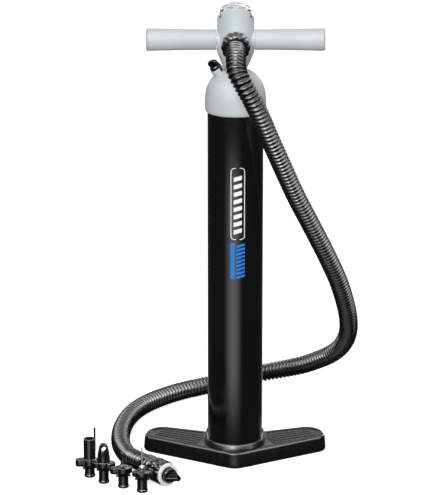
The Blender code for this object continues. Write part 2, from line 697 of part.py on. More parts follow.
def build_gauge():
    """The pressure gauge in the hub's cup: case, stem, spring tube, dial, needle, bezel and domed lens."""
    lift = (0.0, 0.0, -BAR_Z)
    low = CUP_FLOOR + GAP
    case_side = (
        (CASE_RADIUS, CASE_TOP),
        (CASE_RADIUS, low + 0.001),
        (CASE_RADIUS - 0.001, low),
        (0.0, low),
    )
    case_profile = [(0.0, 0.6095), (0.0186, 0.6095), (0.0186, CASE_TOP), *case_side]
    case = turned("gauge_case", case_profile, BLACK, HANDLE, 28, lift)
    cut(case, rod("case_stem_form", 0.0019, 0.0, 0.03, None, HANDLE, 12, (0.0, -0.0128, 0.0)))
    tube("gauge_stem", 0.0016, 0.0007, 0.5960, 0.6120, STEEL, HANDLE, 12, (0.0, -0.0128, -BAR_Z))

    coil = arc((0.0, 0.0), 0.0135, math.radians(-70), math.radians(180), 10)
    curve = bpy.data.curves.new("bourdon_tube", "CURVE")
    curve.dimensions = "3D"
    curve.bevel_depth = 0.0012
    curve.bevel_resolution = 1
    curve.use_fill_caps = True
    spline = curve.splines.new("POLY")
    spline.points.add(len(coil) - 1)
    for point, (x, y) in zip(spline.points, coil):
        point.co = (x, y, 0.6150 - BAR_Z, 1.0)
    spring = bpy.data.objects.new("bourdon_tube", curve)
    curve.materials.append(STEEL)
    PUMP.objects.link(spring)
    spring.parent = HANDLE

    tube("gauge_dial", DIAL_RADIUS, 0.0012, 0.6230, 0.6240, DIAL_WHITE, HANDLE, 24, lift)
    bezel = (
        (0.0187, BEZEL_TOP),
        (0.0200, BEZEL_TOP),
        (BEZEL_RADIUS, BEZEL_TOP - 0.0016),
        (BEZEL_RADIUS, CASE_TOP + GAP),
        (0.0189, CASE_TOP + GAP),
        (0.0189, 0.6312),
        (0.0187, 0.6314),
    )
    turned("gauge_bezel", bezel, CHROME, HANDLE, 28, lift, ring=True)
    reach = LENS_RIM
    radius = (reach * reach + LENS_RISE * LENS_RISE) / (2 * LENS_RISE)
    foot = BEZEL_TOP - 0.0015
    centre_z = foot + LENS_RISE - radius
    spread = math.asin(reach / radius)
    dome = arc((0.0, centre_z), radius, math.pi / 2, math.pi / 2 - spread, 4)
    inner_radius = radius - 0.0012
    inner_spread = math.asin((reach - 0.0012) / inner_radius)
    hollow = arc((0.0, centre_z), inner_radius, math.pi / 2 - inner_spread, math.pi / 2, 3)
    skirt = 0.6275
    dome[0] = (0.0, centre_z + radius)
    hollow[-1] = (0.0, centre_z + inner_radius)
    profile = [*dome, (reach, skirt), (reach - 0.0012, skirt), *hollow]
    turned("gauge_lens", profile, CLEAR, HANDLE, 24, lift)

    hub_side = (
        (0.0016, 0.0012),
        (0.0022, 0.0006),
        (0.0022, -0.0006),
        (0.0007, -0.0006),
        (0.0007, -0.0040),
    )
    needle = turned("gauge_needle", [(0.0, 0.0012), *hub_side, (0.0, -0.0040)], RED, NEEDLE, 16)
    blade = [(-0.0009, -0.0045), (0.0009, -0.0045), (0.0002, 0.0145), (-0.0002, 0.0145)]
    pointer = lofted("pointer_form", [(0.0, blade), (0.0005, blade)], None, NEEDLE)
    pointer.rotation_euler = (0.0, 0.0, math.radians(135))
    join(needle, pointer)


def build_port():
    """The outlet on the hub: spigot, washer, hose cuff and the lobed union nut that holds it."""
    spigot_side = (
        (0.0118, 0.0110),
        (0.0118, 0.0038),
        (0.0145, 0.0038),
        (0.0145, 0.0023),
        (0.0118, 0.0023),
        (0.0118, -0.0095),
    )
    turned("outlet_spigot", [(0.0080, 0.0110), *spigot_side, (0.0080, -0.0095)], BLACK, PORT, 28, ring=True)
    tube("spigot_washer", 0.0140, 0.0085, 0.0113, 0.0125, RUBBER, PORT, 32)
    cuff_side = (
        (0.0146, 0.0128),
        (0.0146, 0.0156),
        (0.0130, 0.0156),
        (0.0130, 0.0205),
    )
    profile = [(0.0095, 0.0205), *reversed(cuff_side), (0.0095, 0.0128)]
    turned("hose_cuff", profile, BLACK, PORT, 28, ring=True)
    outline = lobed(NUT_RADIUS, NUT_LOBE, NUT_LOBES)
    tip = lobed(NUT_RADIUS - 0.0012, NUT_LOBE * 0.7, NUT_LOBES)
    nut = lofted("hose_nut", [(0.0042, outline), (0.0165, outline), (0.0185, tip)], BLACK, PORT)
    cut(nut, rod("nut_inner_form", 0.0149, 0.0, 0.0160, None, PORT, 28))
    cut(nut, rod("nut_mouth_form", 0.0134, 0.0, 0.03, None, PORT, 28))


def build_mode_plug():
    """The stopper in the cap's neck, which turns double action off, its pull ring and its strap."""
    plug_side = (
        (0.0072, 0.0044),
        (0.0078, 0.0036),
        (0.0078, 0.0003),
        (0.0059, 0.0003),
        (0.0059, -0.0085),
        (0.0053, -0.0100),
    )
    plug = turned("mode_plug", [(0.0, 0.0044), *plug_side, (0.0, -0.0100)], BLACK, NECK, 28)
    tab_outline = stadium(0.0155, 0.0110)
    eye_outline = stadium(0.0034, 0.0024)
    tab = lofted("tab_form", [(-0.0022, tab_outline), (0.0022, tab_outline)], None, NECK)
    eye = lofted("eye_form", [(-0.01, eye_outline), (0.01, eye_outline)], None, NECK)
    for piece, x in ((tab, 0.0), (eye, 0.0039)):
        piece.rotation_euler = (math.radians(90), 0.0, math.radians(TAB_TURN))
        piece.location = (x, 0.0, 0.0078)
    cut(tab, eye)
    join(plug, tab)
    side = [
        (0.0082, 0.0018),
        (0.0093, 0.0018),
        (0.0093, -0.0030),
        (0.0094, STRAP_FOOT),
        (0.0105, STRAP_FOOT),
        (0.0104, -0.0026),
        (0.0104, 0.0030),
        (0.0082, 0.0030),
    ]
    strap = lofted("plug_strap", [(-0.0019, side), (0.0019, side)], RUBBER, NECK)
    strap.rotation_mode = "QUATERNION"
    lay = Matrix.Rotation(STRAP_TURN, 3, "Z") @ Matrix.Rotation(math.radians(90), 3, "X")
    strap.rotation_quaternion = lay.to_quaternion()


def hose_line():
    """Evenly spaced points of the smooth curve through the hose's route, from the cuff to the lock nut."""
    start = PORT_POINT + PORT_AXIS * 0.0208
    finish_point = END_POINT - END_AXIS * 0.0463
    lead = PORT_POINT + PORT_AXIS * 0.0040
    trail = END_POINT - END_AXIS * 0.0300
    knots = [lead, start, *(Vector(point) for point in HOSE_ROUTE), finish_point - END_AXIS * 0.0120]
    knots += [finish_point, trail]
    fine = []
    for before, first, second, after in zip(knots, knots[1:], knots[2:], knots[3:]):
        for step in range(20):
            t = step / 20
            bend = (2 * before - 5 * first + 4 * second - after) * t * t
            twist = (3 * first - before - 3 * second + after) * t * t * t
            fine.append((2 * first + (second - before) * t + bend + twist) / 2)
    fine.append(finish_point)
    marks = [0.0]
    for first, second in zip(fine, fine[1:]):
        marks.append(marks[-1] + (second - first).length)
    line = [start]
    index = 0
    for number in range(HOSE_POINTS - 1):
        wanted = HOSE_LEAD + (marks[-1] - 2 * HOSE_LEAD) * number / (HOSE_POINTS - 2)
        while index < len(fine) - 2 and marks[index + 1] < wanted:
            index += 1
        share = (wanted - marks[index]) / (marks[index + 1] - marks[index])
        line.append(fine[index].lerp(fine[index + 1], min(share, 1.0)))
    line[1] = start + PORT_AXIS * HOSE_LEAD
    line[-1] = finish_point - END_AXIS * HOSE_LEAD
    line.append(finish_point)
    return line


def build_hose():
    """The delivery hose from the hub's cuff to the fittings on its far end."""
    curve = bpy.data.curves.new("hose", "CURVE")
    curve.dimensions = "3D"
    curve.bevel_depth = HOSE_RADIUS
    curve.bevel_resolution = 4
    curve.use_fill_caps = True
    curve.twist_mode = "MINIMUM"
    line = hose_line()
    spline = curve.splines.new("POLY")
    spline.points.add(len(line) - 1)
    for point, place in zip(spline.points, line):
        point.co = (*place, 1.0)
    curve.materials.append(HOSE_BLACK)
    hose = bpy.data.objects.new("hose", curve)
    PUMP.objects.link(hose)
    hose.parent = FRAME


def build_hose_end():
    """The far end of the hose: cuff, quarter-turn lock nut, valve gasket and the adapter fitted in it."""
    cuff_side = (
        (0.0098, -0.0120),
        (0.0098, -0.0285),
        (0.0128, -0.0285),
        (0.0148, -0.0305),
        (0.0150, -0.0445),
    )
    profile = [*cuff_side, (0.0140, -0.0460), (0.0075, -0.0460), (0.0075, -0.0120)]
    turned("end_cuff", profile, BLACK, END, 24, ring=True)
    outline = lobed(0.0164, 0.0004, 16, 3)
    slim = lobed(0.0146, 0.0003, 16, 3)
    nut_rings = [(-0.0280, slim), (-0.0230, outline), (-0.0010, outline), (0.0002, slim)]
    nut = lofted("lock_nut", nut_rings, BLACK, END)
    cut(nut, rod("lock_nut_bore", 0.0101, -0.05, 0.05, None, END, 24))
    cut(nut, rod("lock_nut_face", 0.0128, -0.0030, 0.01, None, END, 24))
    tube("valve_gasket", 0.0158, 0.0105, 0.0005, 0.0038, PALE_SEAL, END, 28)
    stopper_side = (
        (0.0098, 0.0100),
        (0.0102, 0.0090),
        (0.0102, 0.0041),
        (0.0098, 0.0035),
        (0.0098, -0.0110),
    )
    adapter = turned("fitted_adapter", [(0.0, 0.0100), *stopper_side, (0.0, -0.0110)], BLACK, END, 24)
    wedge_outline = [(-0.0090, -0.0032), (0.0090, -0.0032), (0.0090, 0.0032), (-0.0090, 0.0032)]
    wedge_tip = [(-0.0012, -0.0026), (0.0044, -0.0026), (0.0044, 0.0026), (-0.0012, 0.0026)]
    wedge = lofted("wedge_form", [(0.0090, wedge_outline), (0.0270, wedge_tip)], None, END)
    wedge.rotation_euler = (0.0, 0.0, math.radians(70))
    finger = rod("finger_form", 0.0015, 0.0090, 0.0210, None, END, 10, (0.0070, 0.0, 0.0))
    join(adapter, wedge, finger)


def adapter_insert(name, spot, turn, plate_low, plate_high, top_side, wings, shift=0.0):
    """A loose adapter's lower part: a beaded insert, lugs and a winged plate, under a turned top."""
    place = empty(name + "_axis", spot)
    place.rotation_quaternion = Matrix.Rotation(turn, 3, "Z").to_quaternion()
    side = (
        *top_side,
        (0.0100, plate_high - 0.0012),
        (0.0100, plate_low + 0.0012),
        (INSERT_RADIUS + 0.0010, plate_low - 0.0020),
        (INSERT_RADIUS, plate_low - 0.0030),
        (INSERT_RADIUS, 0.0040),
        (BEAD_RADIUS, 0.0030),
        (BEAD_RADIUS, 0.0010),
        (INSERT_RADIUS, 0.0001),
    )
    body = turned(name, [(0.0, top_side[0][1]), *side, (0.0, 0.0001)], BLACK, place, 16)
    outline = stadium(*wings)
    plate = lofted(name + "_plate_form", [(plate_low, outline), (plate_high, outline)], None, place)
    plate.location = (shift, 0.0, 0.0)
    lug = block(name + "_lug_form", (0.0190, 0.0036, 0.0024), (0.0, 0.0, plate_low - 0.0040), place=place)
    join(body, plate, lug)
    cut(body, rod(name + "_bore_form", INSERT_BORE, -0.01, plate_low, None, place, 12))
    return body, place


def build_adapters():
    """The four loose valve adapters, each standing on its insert."""
    top = ((0.0078, 0.0545), (0.0081, 0.0537), (0.0081, 0.0262), (0.0100, 0.0254))
    wings = (0.0300, 0.0125)
    tube_adapter, place = adapter_insert(
        "tube_adapter", TUBE_SPOT, TUBE_TURN, 0.0165, 0.0260, top, wings, -0.0045
    )
    cut(tube_adapter, rod("tube_adapter_mouth", 0.0062, 0.0300, 0.07, None, place, 16))
    cut(tube_adapter, rod("tube_adapter_way", 0.0030, 0.0100, 0.05, None, place, 16))
    spike = block("tube_adapter_spike", (0.0024, 0.0026, 0.0330), (0.0072, 0.0, 0.0530), place=place)
    join(tube_adapter, spike)

    top = (
        (0.0030, 0.0555),
        (0.0046, 0.0545),
        (0.0062, 0.0500),
        (0.0078, 0.0420),
        (0.0086, 0.0340),
        (0.0088, 0.0300),
        (0.0100, 0.0290),
    )
    wings = (0.0320, 0.0150)
    cone, place = adapter_insert("cone_adapter", CONE_SPOT, CONE_TURN, 0.0220, 0.0295, top, wings)
    cut(cone, rod("cone_adapter_way", 0.0024, 0.0100, 0.07, None, place, 16))
    slot = rod("cone_adapter_window", 0.0040, -0.02, 0.02, None, place, 12)
    lie_along(slot, (0.0, -0.80, 0.60), (0.0, 0.0010, 0.0470))
    cut(cone, slot)

    top = ((0.0028, 0.0495), (0.0033, 0.0485), (0.0033, 0.0330), (0.0060, 0.0300), (0.0100, 0.0285))
    wings = (0.0300, 0.0120)
    stem, place = adapter_insert(
        "stem_adapter", STEM_SPOT, STEM_TURN, 0.0205, 0.0285, top, wings, -0.0030
    )
    cut(stem, rod("stem_adapter_way", 0.0017, 0.0100, 0.07, None, place, 12))
    notch = block("stem_adapter_notch", (0.0018, 0.02, 0.0040), (0.0, 0.0, 0.0490), place=place)
    cut(stem, notch)

    top = ((0.0050, 0.0325), (0.0056, 0.0318), (0.0056, 0.0300), (0.0100, 0.0285))
    wings = (0.0270, 0.0120)
    socket, place = adapter_insert(
        "needle_adapter", NEEDLE_SPOT, NEEDLE_TURN, 0.0220, 0.0285, top, wings
    )
    cut(socket, rod("needle_adapter_socket", 0.0022, 0.0240, 0.05, None, place, 16))
    cut(socket, rod("needle_adapter_way", 0.0012, 0.0100, 0.05, None, place, 12))
    needle_side = (
        (0.0005, 0.0635),
        (0.0009, 0.0615),
        (0.0010, 0.0372),
        (0.0026, 0.0366),
        (0.0038, 0.0358),
        (0.0038, 0.0330),
        (0.0019, 0.0329),
        (0.0019, 0.0250),
    )
    needle = turned("ball_needle", [(0.0, 0.0635), *needle_side, (0.0, 0.0250)], STEEL, place, 12)
    cut(needle, rod("ball_needle_way", 0.0004, 0.0, 0.0500, None, place, 8))


def soften():
    """Round pieces are shaded smooth, with sharp edges kept where faces meet at more than 35 degrees."""
    for obj in PUMP.objects:
        if obj.type == "MESH" and obj.data.polygons:
            obj.data.shade_smooth()
            obj.data.set_sharp_from_angle(angle=math.radians(35))


build_footplate()
build_barrel()
build_cap()
build_piston()
build_hub()
build_grips()
build_gauge()
build_port()
build_mode_plug()
build_hose()
build_hose_end()
build_adapters()
soften()
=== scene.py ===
"""Visual model of a double action hand pump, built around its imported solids.

A glossy barrel stands on a chevron footplate. Its T-handle carries a pressure gauge and the delivery
hose, and four loose valve adapters stand beside it. Metres, +Z up, -Y to the front; the origin is
under the barrel.
"""

import json
import logging
import math
from dataclasses import dataclass, field
from enum import Enum
from typing import Sequence

import bmesh
import bpy
from mathutils import Matrix, Vector

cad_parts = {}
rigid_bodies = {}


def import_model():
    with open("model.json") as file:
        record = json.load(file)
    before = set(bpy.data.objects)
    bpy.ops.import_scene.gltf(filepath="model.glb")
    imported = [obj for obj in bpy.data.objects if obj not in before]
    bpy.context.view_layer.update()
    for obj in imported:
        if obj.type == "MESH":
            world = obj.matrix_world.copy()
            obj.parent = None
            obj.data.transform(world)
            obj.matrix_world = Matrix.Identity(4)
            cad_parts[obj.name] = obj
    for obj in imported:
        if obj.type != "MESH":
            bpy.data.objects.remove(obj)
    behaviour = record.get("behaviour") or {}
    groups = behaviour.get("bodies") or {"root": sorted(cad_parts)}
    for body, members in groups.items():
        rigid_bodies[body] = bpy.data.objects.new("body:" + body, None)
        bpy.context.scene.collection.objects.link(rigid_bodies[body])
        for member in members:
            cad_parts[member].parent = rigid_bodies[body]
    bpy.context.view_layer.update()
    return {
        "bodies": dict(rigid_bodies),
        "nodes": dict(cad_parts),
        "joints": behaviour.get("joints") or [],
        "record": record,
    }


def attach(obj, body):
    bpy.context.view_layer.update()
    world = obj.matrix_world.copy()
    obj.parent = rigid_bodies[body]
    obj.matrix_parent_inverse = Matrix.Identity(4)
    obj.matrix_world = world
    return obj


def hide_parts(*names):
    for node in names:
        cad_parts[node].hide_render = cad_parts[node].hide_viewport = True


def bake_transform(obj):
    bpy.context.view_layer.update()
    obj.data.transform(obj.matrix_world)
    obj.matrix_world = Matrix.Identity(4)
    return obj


LOG = logging.getLogger("hand_pump")
TAU = 2 * math.pi
SHARP = math.radians(38)
TINY = 1e-7
STRAIGHT = math.radians(174)
MOST_OF_HALF = 0.46
STARTUP_OBJECTS = ("Cube", "Light", "Camera")
Pair = tuple[float, float]
Triple = tuple[float, float, float]
Path = Sequence[Pair]


class Body(str, Enum):
    """The rigid bodies that pieces ride on."""

    PUMP = "pump_body"
    HANDLE = "handle"
    NEEDLE = "pressure_needle"
    NUT = "union_nut"
    STOPPER = "stopper"
    LOCK = "quarter_turn_nut"
    FITTED = "adapter_in_hose"
    TUBE = "loose_tube_adapter"
    CONE = "loose_cone_adapter"
    STEM = "loose_stem_adapter"
    BALL = "loose_needle_adapter"


class Operation(str, Enum):
    """How a helper solid changes a piece."""

    CUT = "DIFFERENCE"
    JOIN = "UNION"


# ---------------------------------------------------------------- node trees


class Wiring:
    """A node tree under construction."""

    def __init__(self, tree: bpy.types.NodeTree) -> None:
        """Starts on a tree.

        Args:
            tree: the tree.
        """
        self.tree = tree

    def add(self, kind: str, **settings: object) -> bpy.types.Node:
        """Adds a node, with its settings."""
        node = self.tree.nodes.new(kind)
        for key, value in settings.items():
            setattr(node, key, value)
        return node

    def join(self, value: object, socket: bpy.types.NodeSocket) -> None:
        """Links a socket to an input, or sets the input to a plain value."""
        if isinstance(value, bpy.types.NodeSocket):
            self.tree.links.new(value, socket)
        else:
            socket.default_value = value

    def math(self, operation: str, *values: object) -> bpy.types.NodeSocket:
        """Returns the result of a Math node on sockets or numbers."""
        node = self.add("ShaderNodeMath", operation=operation)
        for value, socket in zip(values, node.inputs):
            self.join(value, socket)
        return node.outputs["Value"]

    def ramp(
        self, value: bpy.types.NodeSocket, span: Pair, levels: Pair, shape: str = "LINEAR"
    ) -> bpy.types.NodeSocket:
        """Returns a value carried from one span to another.

        Args:
            value: the value.
            span: the values that the ramp starts and ends at.
            levels: what they become.
            shape: the ramp's interpolation.

        Returns:
            The result, clamped to the levels.
        """
        node = self.add("ShaderNodeMapRange", interpolation_type=shape)
        self.join(value, node.inputs["Value"])
        for name, number in zip(("From Min", "From Max", "To Min", "To Max"), (*span, *levels)):
            node.inputs[name].default_value = number
        return node.outputs["Result"]


class Shader(Wiring):
    """A material's node tree under construction, on Object coordinates."""

    def __init__(self, name: str) -> None:
        """Starts a Principled material.

        Args:
            name: the material's name.
        """
        self.material = bpy.data.materials.new(name)
        self.material.use_nodes = True
        super().__init__(self.material.node_tree)
        self.surface = self.tree.nodes["Principled BSDF"]
        self.coordinates = self.add("ShaderNodeTexCoord").outputs["Object"]

    def set(self, **values: float | tuple[float, ...]) -> None:
        """Sets uniform values on the surface's own sockets.

        Args:
            values: socket names with underscores for spaces, and their values.
        """
        for key, value in values.items():
            self.surface.inputs[key.replace("_", " ")].default_value = value

    def noise(
        self, scale: float, detail: float = 3.0, stretch: Triple = (1.0, 1.0, 1.0)
    ) -> bpy.types.NodeSocket:
        """Adds a noise pattern.

        Args:
            scale: its frequency, per metre.
            detail: its octaves.
            stretch: a further scale on each axis.

        Returns:
            The pattern's value socket.
        """
        mapping = self.add("ShaderNodeMapping")
        self.join(self.coordinates, mapping.inputs["Vector"])
        self.join(stretch, mapping.inputs["Scale"])
        node = self.add("ShaderNodeTexNoise")
        for name, value in (("Vector", mapping.outputs["Vector"]), ("Scale", scale), ("Detail", detail)):
            self.join(value, node.inputs[name])
        return node.outputs["Fac"]

    def spread(self, value: bpy.types.NodeSocket, low: float, high: float) -> bpy.types.NodeSocket:
        """Returns a pattern's middle range spread from a low to a high number."""
        return self.ramp(value, (0.3, 0.7), (low, high))

    def tint(self, factor: bpy.types.NodeSocket, first: Triple, second: Triple) -> None:
        """Colours the surface between two colours, by a factor from 0 to 1."""
        node = self.add("ShaderNodeMix", data_type="RGBA")
        self.join((*first, 1.0), node.inputs["A"])
        self.join((*second, 1.0), node.inputs["B"])
        self.join(factor, node.inputs["Factor"])
        self.join(node.outputs["Result"], self.surface.inputs["Base Color"])

    def mottle(self, pattern: bpy.types.NodeSocket, first: Triple, second: Triple) -> None:
        """Colours the surface between two colours, by a pattern's middle range."""
        self.tint(self.spread(pattern, 0.0, 1.0), first, second)

    def polish(self, pattern: bpy.types.NodeSocket, low: float, high: float) -> None:
        """Varies the roughness between two numbers, by a pattern's middle range."""
        self.join(self.spread(pattern, low, high), self.surface.inputs["Roughness"])

    def relief(self, *layers: tuple[bpy.types.NodeSocket, float, float]) -> None:
        """Stacks bump layers.

        Args:
            layers: each layer's height pattern, strength and depth in metres.
        """
        normal = None
        for height, strength, depth in layers:
            bump = self.add("ShaderNodeBump")
            for name, value in (("Strength", strength), ("Distance", depth), ("Height", height)):
                self.join(value, bump.inputs[name])
            if normal is not None:
                self.join(normal, bump.inputs["Normal"])
            normal = bump.outputs["Normal"]
        self.join(normal, self.surface.inputs["Normal"])


class Grower(Wiring):
    """A Geometry Nodes tree under construction, and the way a piece is grown from it."""

    def __init__(self, name: str) -> None:
        """Starts a tree.

        Args:
            name: the tree's name.
        """
        super().__init__(bpy.data.node_groups.new(name, "GeometryNodeTree"))
        self.tree.is_modifier = True
        for side in ("OUTPUT", "INPUT"):
            self.tree.interface.new_socket("Geometry", in_out=side, socket_type="NodeSocketGeometry")
        self.start = self.add("NodeGroupInput")
        self.end = self.add("NodeGroupOutput")

    def size(self, name: str, kind: str = "Float") -> bpy.types.NodeSocket:
        """Adds a named input, and returns its socket inside the tree."""
        self.tree.interface.new_socket(name, in_out="INPUT", socket_type="NodeSocket" + kind)
        return self.start.outputs[name]

    def copies(
        self, count: bpy.types.NodeSocket, first: object, step: object, turn: object = None
    ) -> bpy.types.NodeSocket:
        """Sets copies of the seed along a line.

        Args:
            count: how many.
            first: where the first one stands.
            step: from one to the next.
            turn: the turn of each, if they are turned.

        Returns:
            The copies.
        """
        line = self.add("GeometryNodeMeshLine", mode="OFFSET")
        for name, value in (("Count", count), ("Start Location", first), ("Offset", step)):
            self.join(value, line.inputs[name])
        spread = self.add("GeometryNodeInstanceOnPoints")
        self.join(line.outputs["Mesh"], spread.inputs["Points"])
        self.join(self.start.outputs["Geometry"], spread.inputs["Instance"])
        if turn is not None:
            self.join(turn, spread.inputs["Rotation"])
        return spread.outputs["Instances"]

    def close(self, geometry: bpy.types.NodeSocket) -> None:
        """Ends the tree in Realize Instances and Set Material."""
        realise = self.add("GeometryNodeRealizeInstances")
        paint = self.add("GeometryNodeSetMaterial")
        self.join(geometry, realise.inputs["Geometry"])
        self.join(realise.outputs["Geometry"], paint.inputs["Geometry"])
        self.join(self.size("Material", "Material"), paint.inputs["Material"])
        self.join(paint.outputs["Geometry"], self.end.inputs["Geometry"])

    def grow(
        self, name: str, seed: bpy.types.Object, material: bpy.types.Material, place: Matrix | None = None,
        **sizes: object
    ) -> bpy.types.Object:
        """Runs the tree on a seed object.

        Args:
            name: the new piece's name.
            seed: the shape or path that the tree starts from, which is used up.
            material: the finish.
            place: where the result stands.
            sizes: values for the named inputs, with underscores for spaces.

        Returns:
            The piece, as a plain mesh.
        """
        modifier = seed.modifiers.new("grow", "NODES")
        modifier.node_group = self.tree
        items = self.tree.interface.items_tree
        known = {item.name: item.identifier for item in items if item.in_out == "INPUT"}
        for key, value in {**sizes, "Material": material}.items():
            modifier[known[key.replace("_", " ")]] = value
        graph = bpy.context.evaluated_depsgraph_get()
        mesh = bpy.data.meshes.new_from_object(seed.evaluated_get(graph))
        bpy.data.objects.remove(seed)
        if place is not None:
            mesh.transform(place)
        mesh.name = name
        made = bpy.data.objects.new(name, mesh)
        bpy.context.scene.collection.objects.link(made)
        return made


def row_tree() -> Grower:
    """Returns a tree that sets copies of a shape in a straight row."""
    grower = Grower("row_of_copies")
    count, start, step = grower.size("Count", "Int"), grower.size(
        "Start", "Vector"
    ), grower.size("Step", "Vector")
    grower.close(grower.copies(count, start, step))
    return grower


def ring_tree() -> Grower:
    """Returns a tree that sets copies of a shape round +Z, through an arc from a first angle."""
    grower = Grower("ring_of_copies")
    count, first, step = grower.size("Count", "Int"), grower.size("First Angle"), grower.size("Angle Step")
    index = grower.add("GeometryNodeInputIndex").outputs["Index"]
    turn = grower.add("ShaderNodeCombineXYZ")
    grower.join(grower.math("ADD", grower.math("MULTIPLY", index, step), first), turn.inputs["Z"])
    still = (0.0, 0.0, 0.0)
    grower.close(grower.copies(count, still, still, turn.outputs["Vector"]))
    return grower


def corrugated_tree() -> Grower:
    """Returns a tree that runs a spirally ribbed tube along a path, and keeps each point's rib height."""
    grower = Grower("corrugated_tube")
    radius, depth, pitch = grower.size("Radius"), grower.size("Rib Depth"), grower.size("Rib Pitch")
    spacing, sides = grower.size("Ring Spacing"), grower.size("Sides", "Int")

    resample = grower.add("GeometryNodeResampleCurve", mode="LENGTH")
    grower.join(grower.start.outputs["Geometry"], resample.inputs["Curve"])
    grower.join(spacing, resample.inputs["Length"])
    circle = grower.add("GeometryNodeCurvePrimitiveCircle", mode="RADIUS")
    grower.join(sides, circle.inputs["Resolution"])
    grower.join(radius, circle.inputs["Radius"])
    kept = {}
    for name, measure, curve in (("Along", "Length", resample), ("Around", "Factor", circle)):
        capture = grower.add("GeometryNodeCaptureAttribute", domain="POINT")
        capture.capture_items.new("FLOAT", name)
        grower.join(curve.outputs["Curve"], capture.inputs["Geometry"])
        grower.join(grower.add("GeometryNodeSplineParameter").outputs[measure], capture.inputs[name])
        kept[name] = capture
    skin = grower.add("GeometryNodeCurveToMesh")
    grower.join(True, skin.inputs["Fill Caps"])
    grower.join(kept["Along"].outputs["Geometry"], skin.inputs["Curve"])
    grower.join(kept["Around"].outputs["Geometry"], skin.inputs["Profile Curve"])

    turns = grower.math("DIVIDE", kept["Along"].outputs["Along"], pitch)
    phase = grower.math("ADD", turns, kept["Around"].outputs["Around"])
    wave = grower.math("COSINE", grower.math("MULTIPLY", phase, TAU))
    half = grower.math("MULTIPLY", grower.math("ADD", wave, 1.0001), 0.5)
    height = grower.math("POWER", half, 0.9)
    push = grower.add("ShaderNodeVectorMath", operation="SCALE")
    grower.join(grower.add("GeometryNodeInputNormal").outputs["Normal"], push.inputs[0])
    grower.join(grower.math("MULTIPLY", grower.math("SUBTRACT", height, 1.0), depth), push.inputs["Scale"])
    keep = grower.add("GeometryNodeStoreNamedAttribute", data_type="FLOAT", domain="POINT")
    move = grower.add("GeometryNodeSetPosition")
    smooth = grower.add("GeometryNodeSetShadeSmooth")
    grower.join("rib", keep.inputs["Name"])
    grower.join(skin.outputs["Mesh"], keep.inputs["Geometry"])
    grower.join(height, keep.inputs["Value"])
    grower.join(keep.outputs["Geometry"], move.inputs["Geometry"])
    grower.join(push.outputs["Vector"], move.inputs["Offset"])
    grower.join(move.outputs["Geometry"], smooth.inputs["Geometry"])
    grower.close(smooth.outputs["Geometry"])
    return grower


# ---------------------------------------------------------------- finishes


def shaded(colour: Triple, factor: float) -> Triple:
    """Returns a colour made darker or lighter, up to white."""
    return tuple(min(1.0, part * factor) for part in colour)


@dataclass(frozen=True)
class Finish:
    """A finish that is made into a material once, under its own name."""

    name: str
    colour: Triple

    def material(self) -> bpy.types.Material:
        """Returns the finish's material, built at the first call."""
        made = bpy.data.materials.get(self.name)
        if made is None:
            shader = Shader(self.name)
            self.paint(shader)
            made = shader.material
        return made

    def paint(self, shader: Shader) -> None:
        """Wires the finish's own patterns.

        Args:
            shader: the material's node tree.
        """
        raise NotImplementedError


@dataclass(frozen=True)
class Plastic(Finish):
    """A moulded plastic, with flow mottling, an uneven sheen and a spark-eroded grain."""

    roughness: float
    change: float = 0.06
    sheen_change: float = 0.06
    grain_depth: float = 0.00004
    waviness: float = 0.12
    coat: float = 0.0
    specular: float = 0.5

    def paint(self, shader: Shader) -> None:
        """Wires the mottling, the sheen and the grain."""
        shader.set(Coat_Weight=self.coat, Coat_Roughness=0.08, Specular_IOR_Level=self.specular)
        dark, light = shaded(self.colour, 1 - self.change), shaded(self.colour, 1 + self.change)
        shader.mottle(shader.noise(34.0, 4.0), dark, light)
        low, high = self.roughness - self.sheen_change, self.roughness + self.sheen_change
        shader.polish(shader.noise(120.0, 5.0), low, high)
        wave, grain = shader.noise(70.0, 1.0), shader.noise(2600.0, 2.0)
        shader.relief((wave, self.waviness, 0.0002), (grain, 0.5, self.grain_depth))


@dataclass(frozen=True)
class Tubing(Finish):
    """A glossy extruded tube, with faint draw lines along it and hairline rub marks."""

    roughness: float

    def paint(self, shader: Shader) -> None:
        """Wires the haze, the rub marks and the draw lines."""
        shader.set(Coat_Weight=0.25, Coat_Roughness=0.04, Specular_IOR_Level=0.5)
        haze = shader.noise(26.0, 5.0, (1.0, 1.0, 0.35))
        shader.mottle(haze, shaded(self.colour, 0.8), shaded(self.colour, 1.25))
        rubs = shader.noise(420.0, 6.0, (0.2, 0.2, 1.4))
        shader.polish(rubs, self.roughness - 0.03, self.roughness + 0.05)
        lines, peel = shader.noise(900.0, 3.0, (1.0, 1.0, 0.012)), shader.noise(240.0, 1.0)
        shader.relief((lines, 0.10, 0.00003), (peel, 0.05, 0.00010))


@dataclass(frozen=True)
class RibbedPlastic(Finish):
    """The hose's glossy skin: rougher, darker valleys and polished crests, read from the ribs themselves; the
    valleys' darker colour is painted shade.
    """

    # The colour of the valleys: a painted shade, darker than the crests.
    painted_valley_shade: Triple

    def paint(self, shader: Shader) -> None:
        """Wires the ribs' colour, with painted shade in the valleys, and their polish, with light scuffs."""
        shader.set(Specular_IOR_Level=0.5, Coat_Weight=0.1, Coat_Roughness=0.06)
        height = shader.add("ShaderNodeAttribute", attribute_name="rib").outputs["Fac"]
        # The valleys get the darker colour: painted shade in the grooves between the ribs.
        shader.tint(height, self.painted_valley_shade, self.colour)
        gloss = shader.ramp(height, (0.0, 1.0), (0.45, 0.09))
        scuffs = shader.spread(shader.noise(300.0, 5.0), -0.03, 0.05)
        shader.join(shader.math("ADD", gloss, scuffs), shader.surface.inputs["Roughness"])
        shader.relief((shader.noise(900.0, 2.0), 0.04, 0.00001))


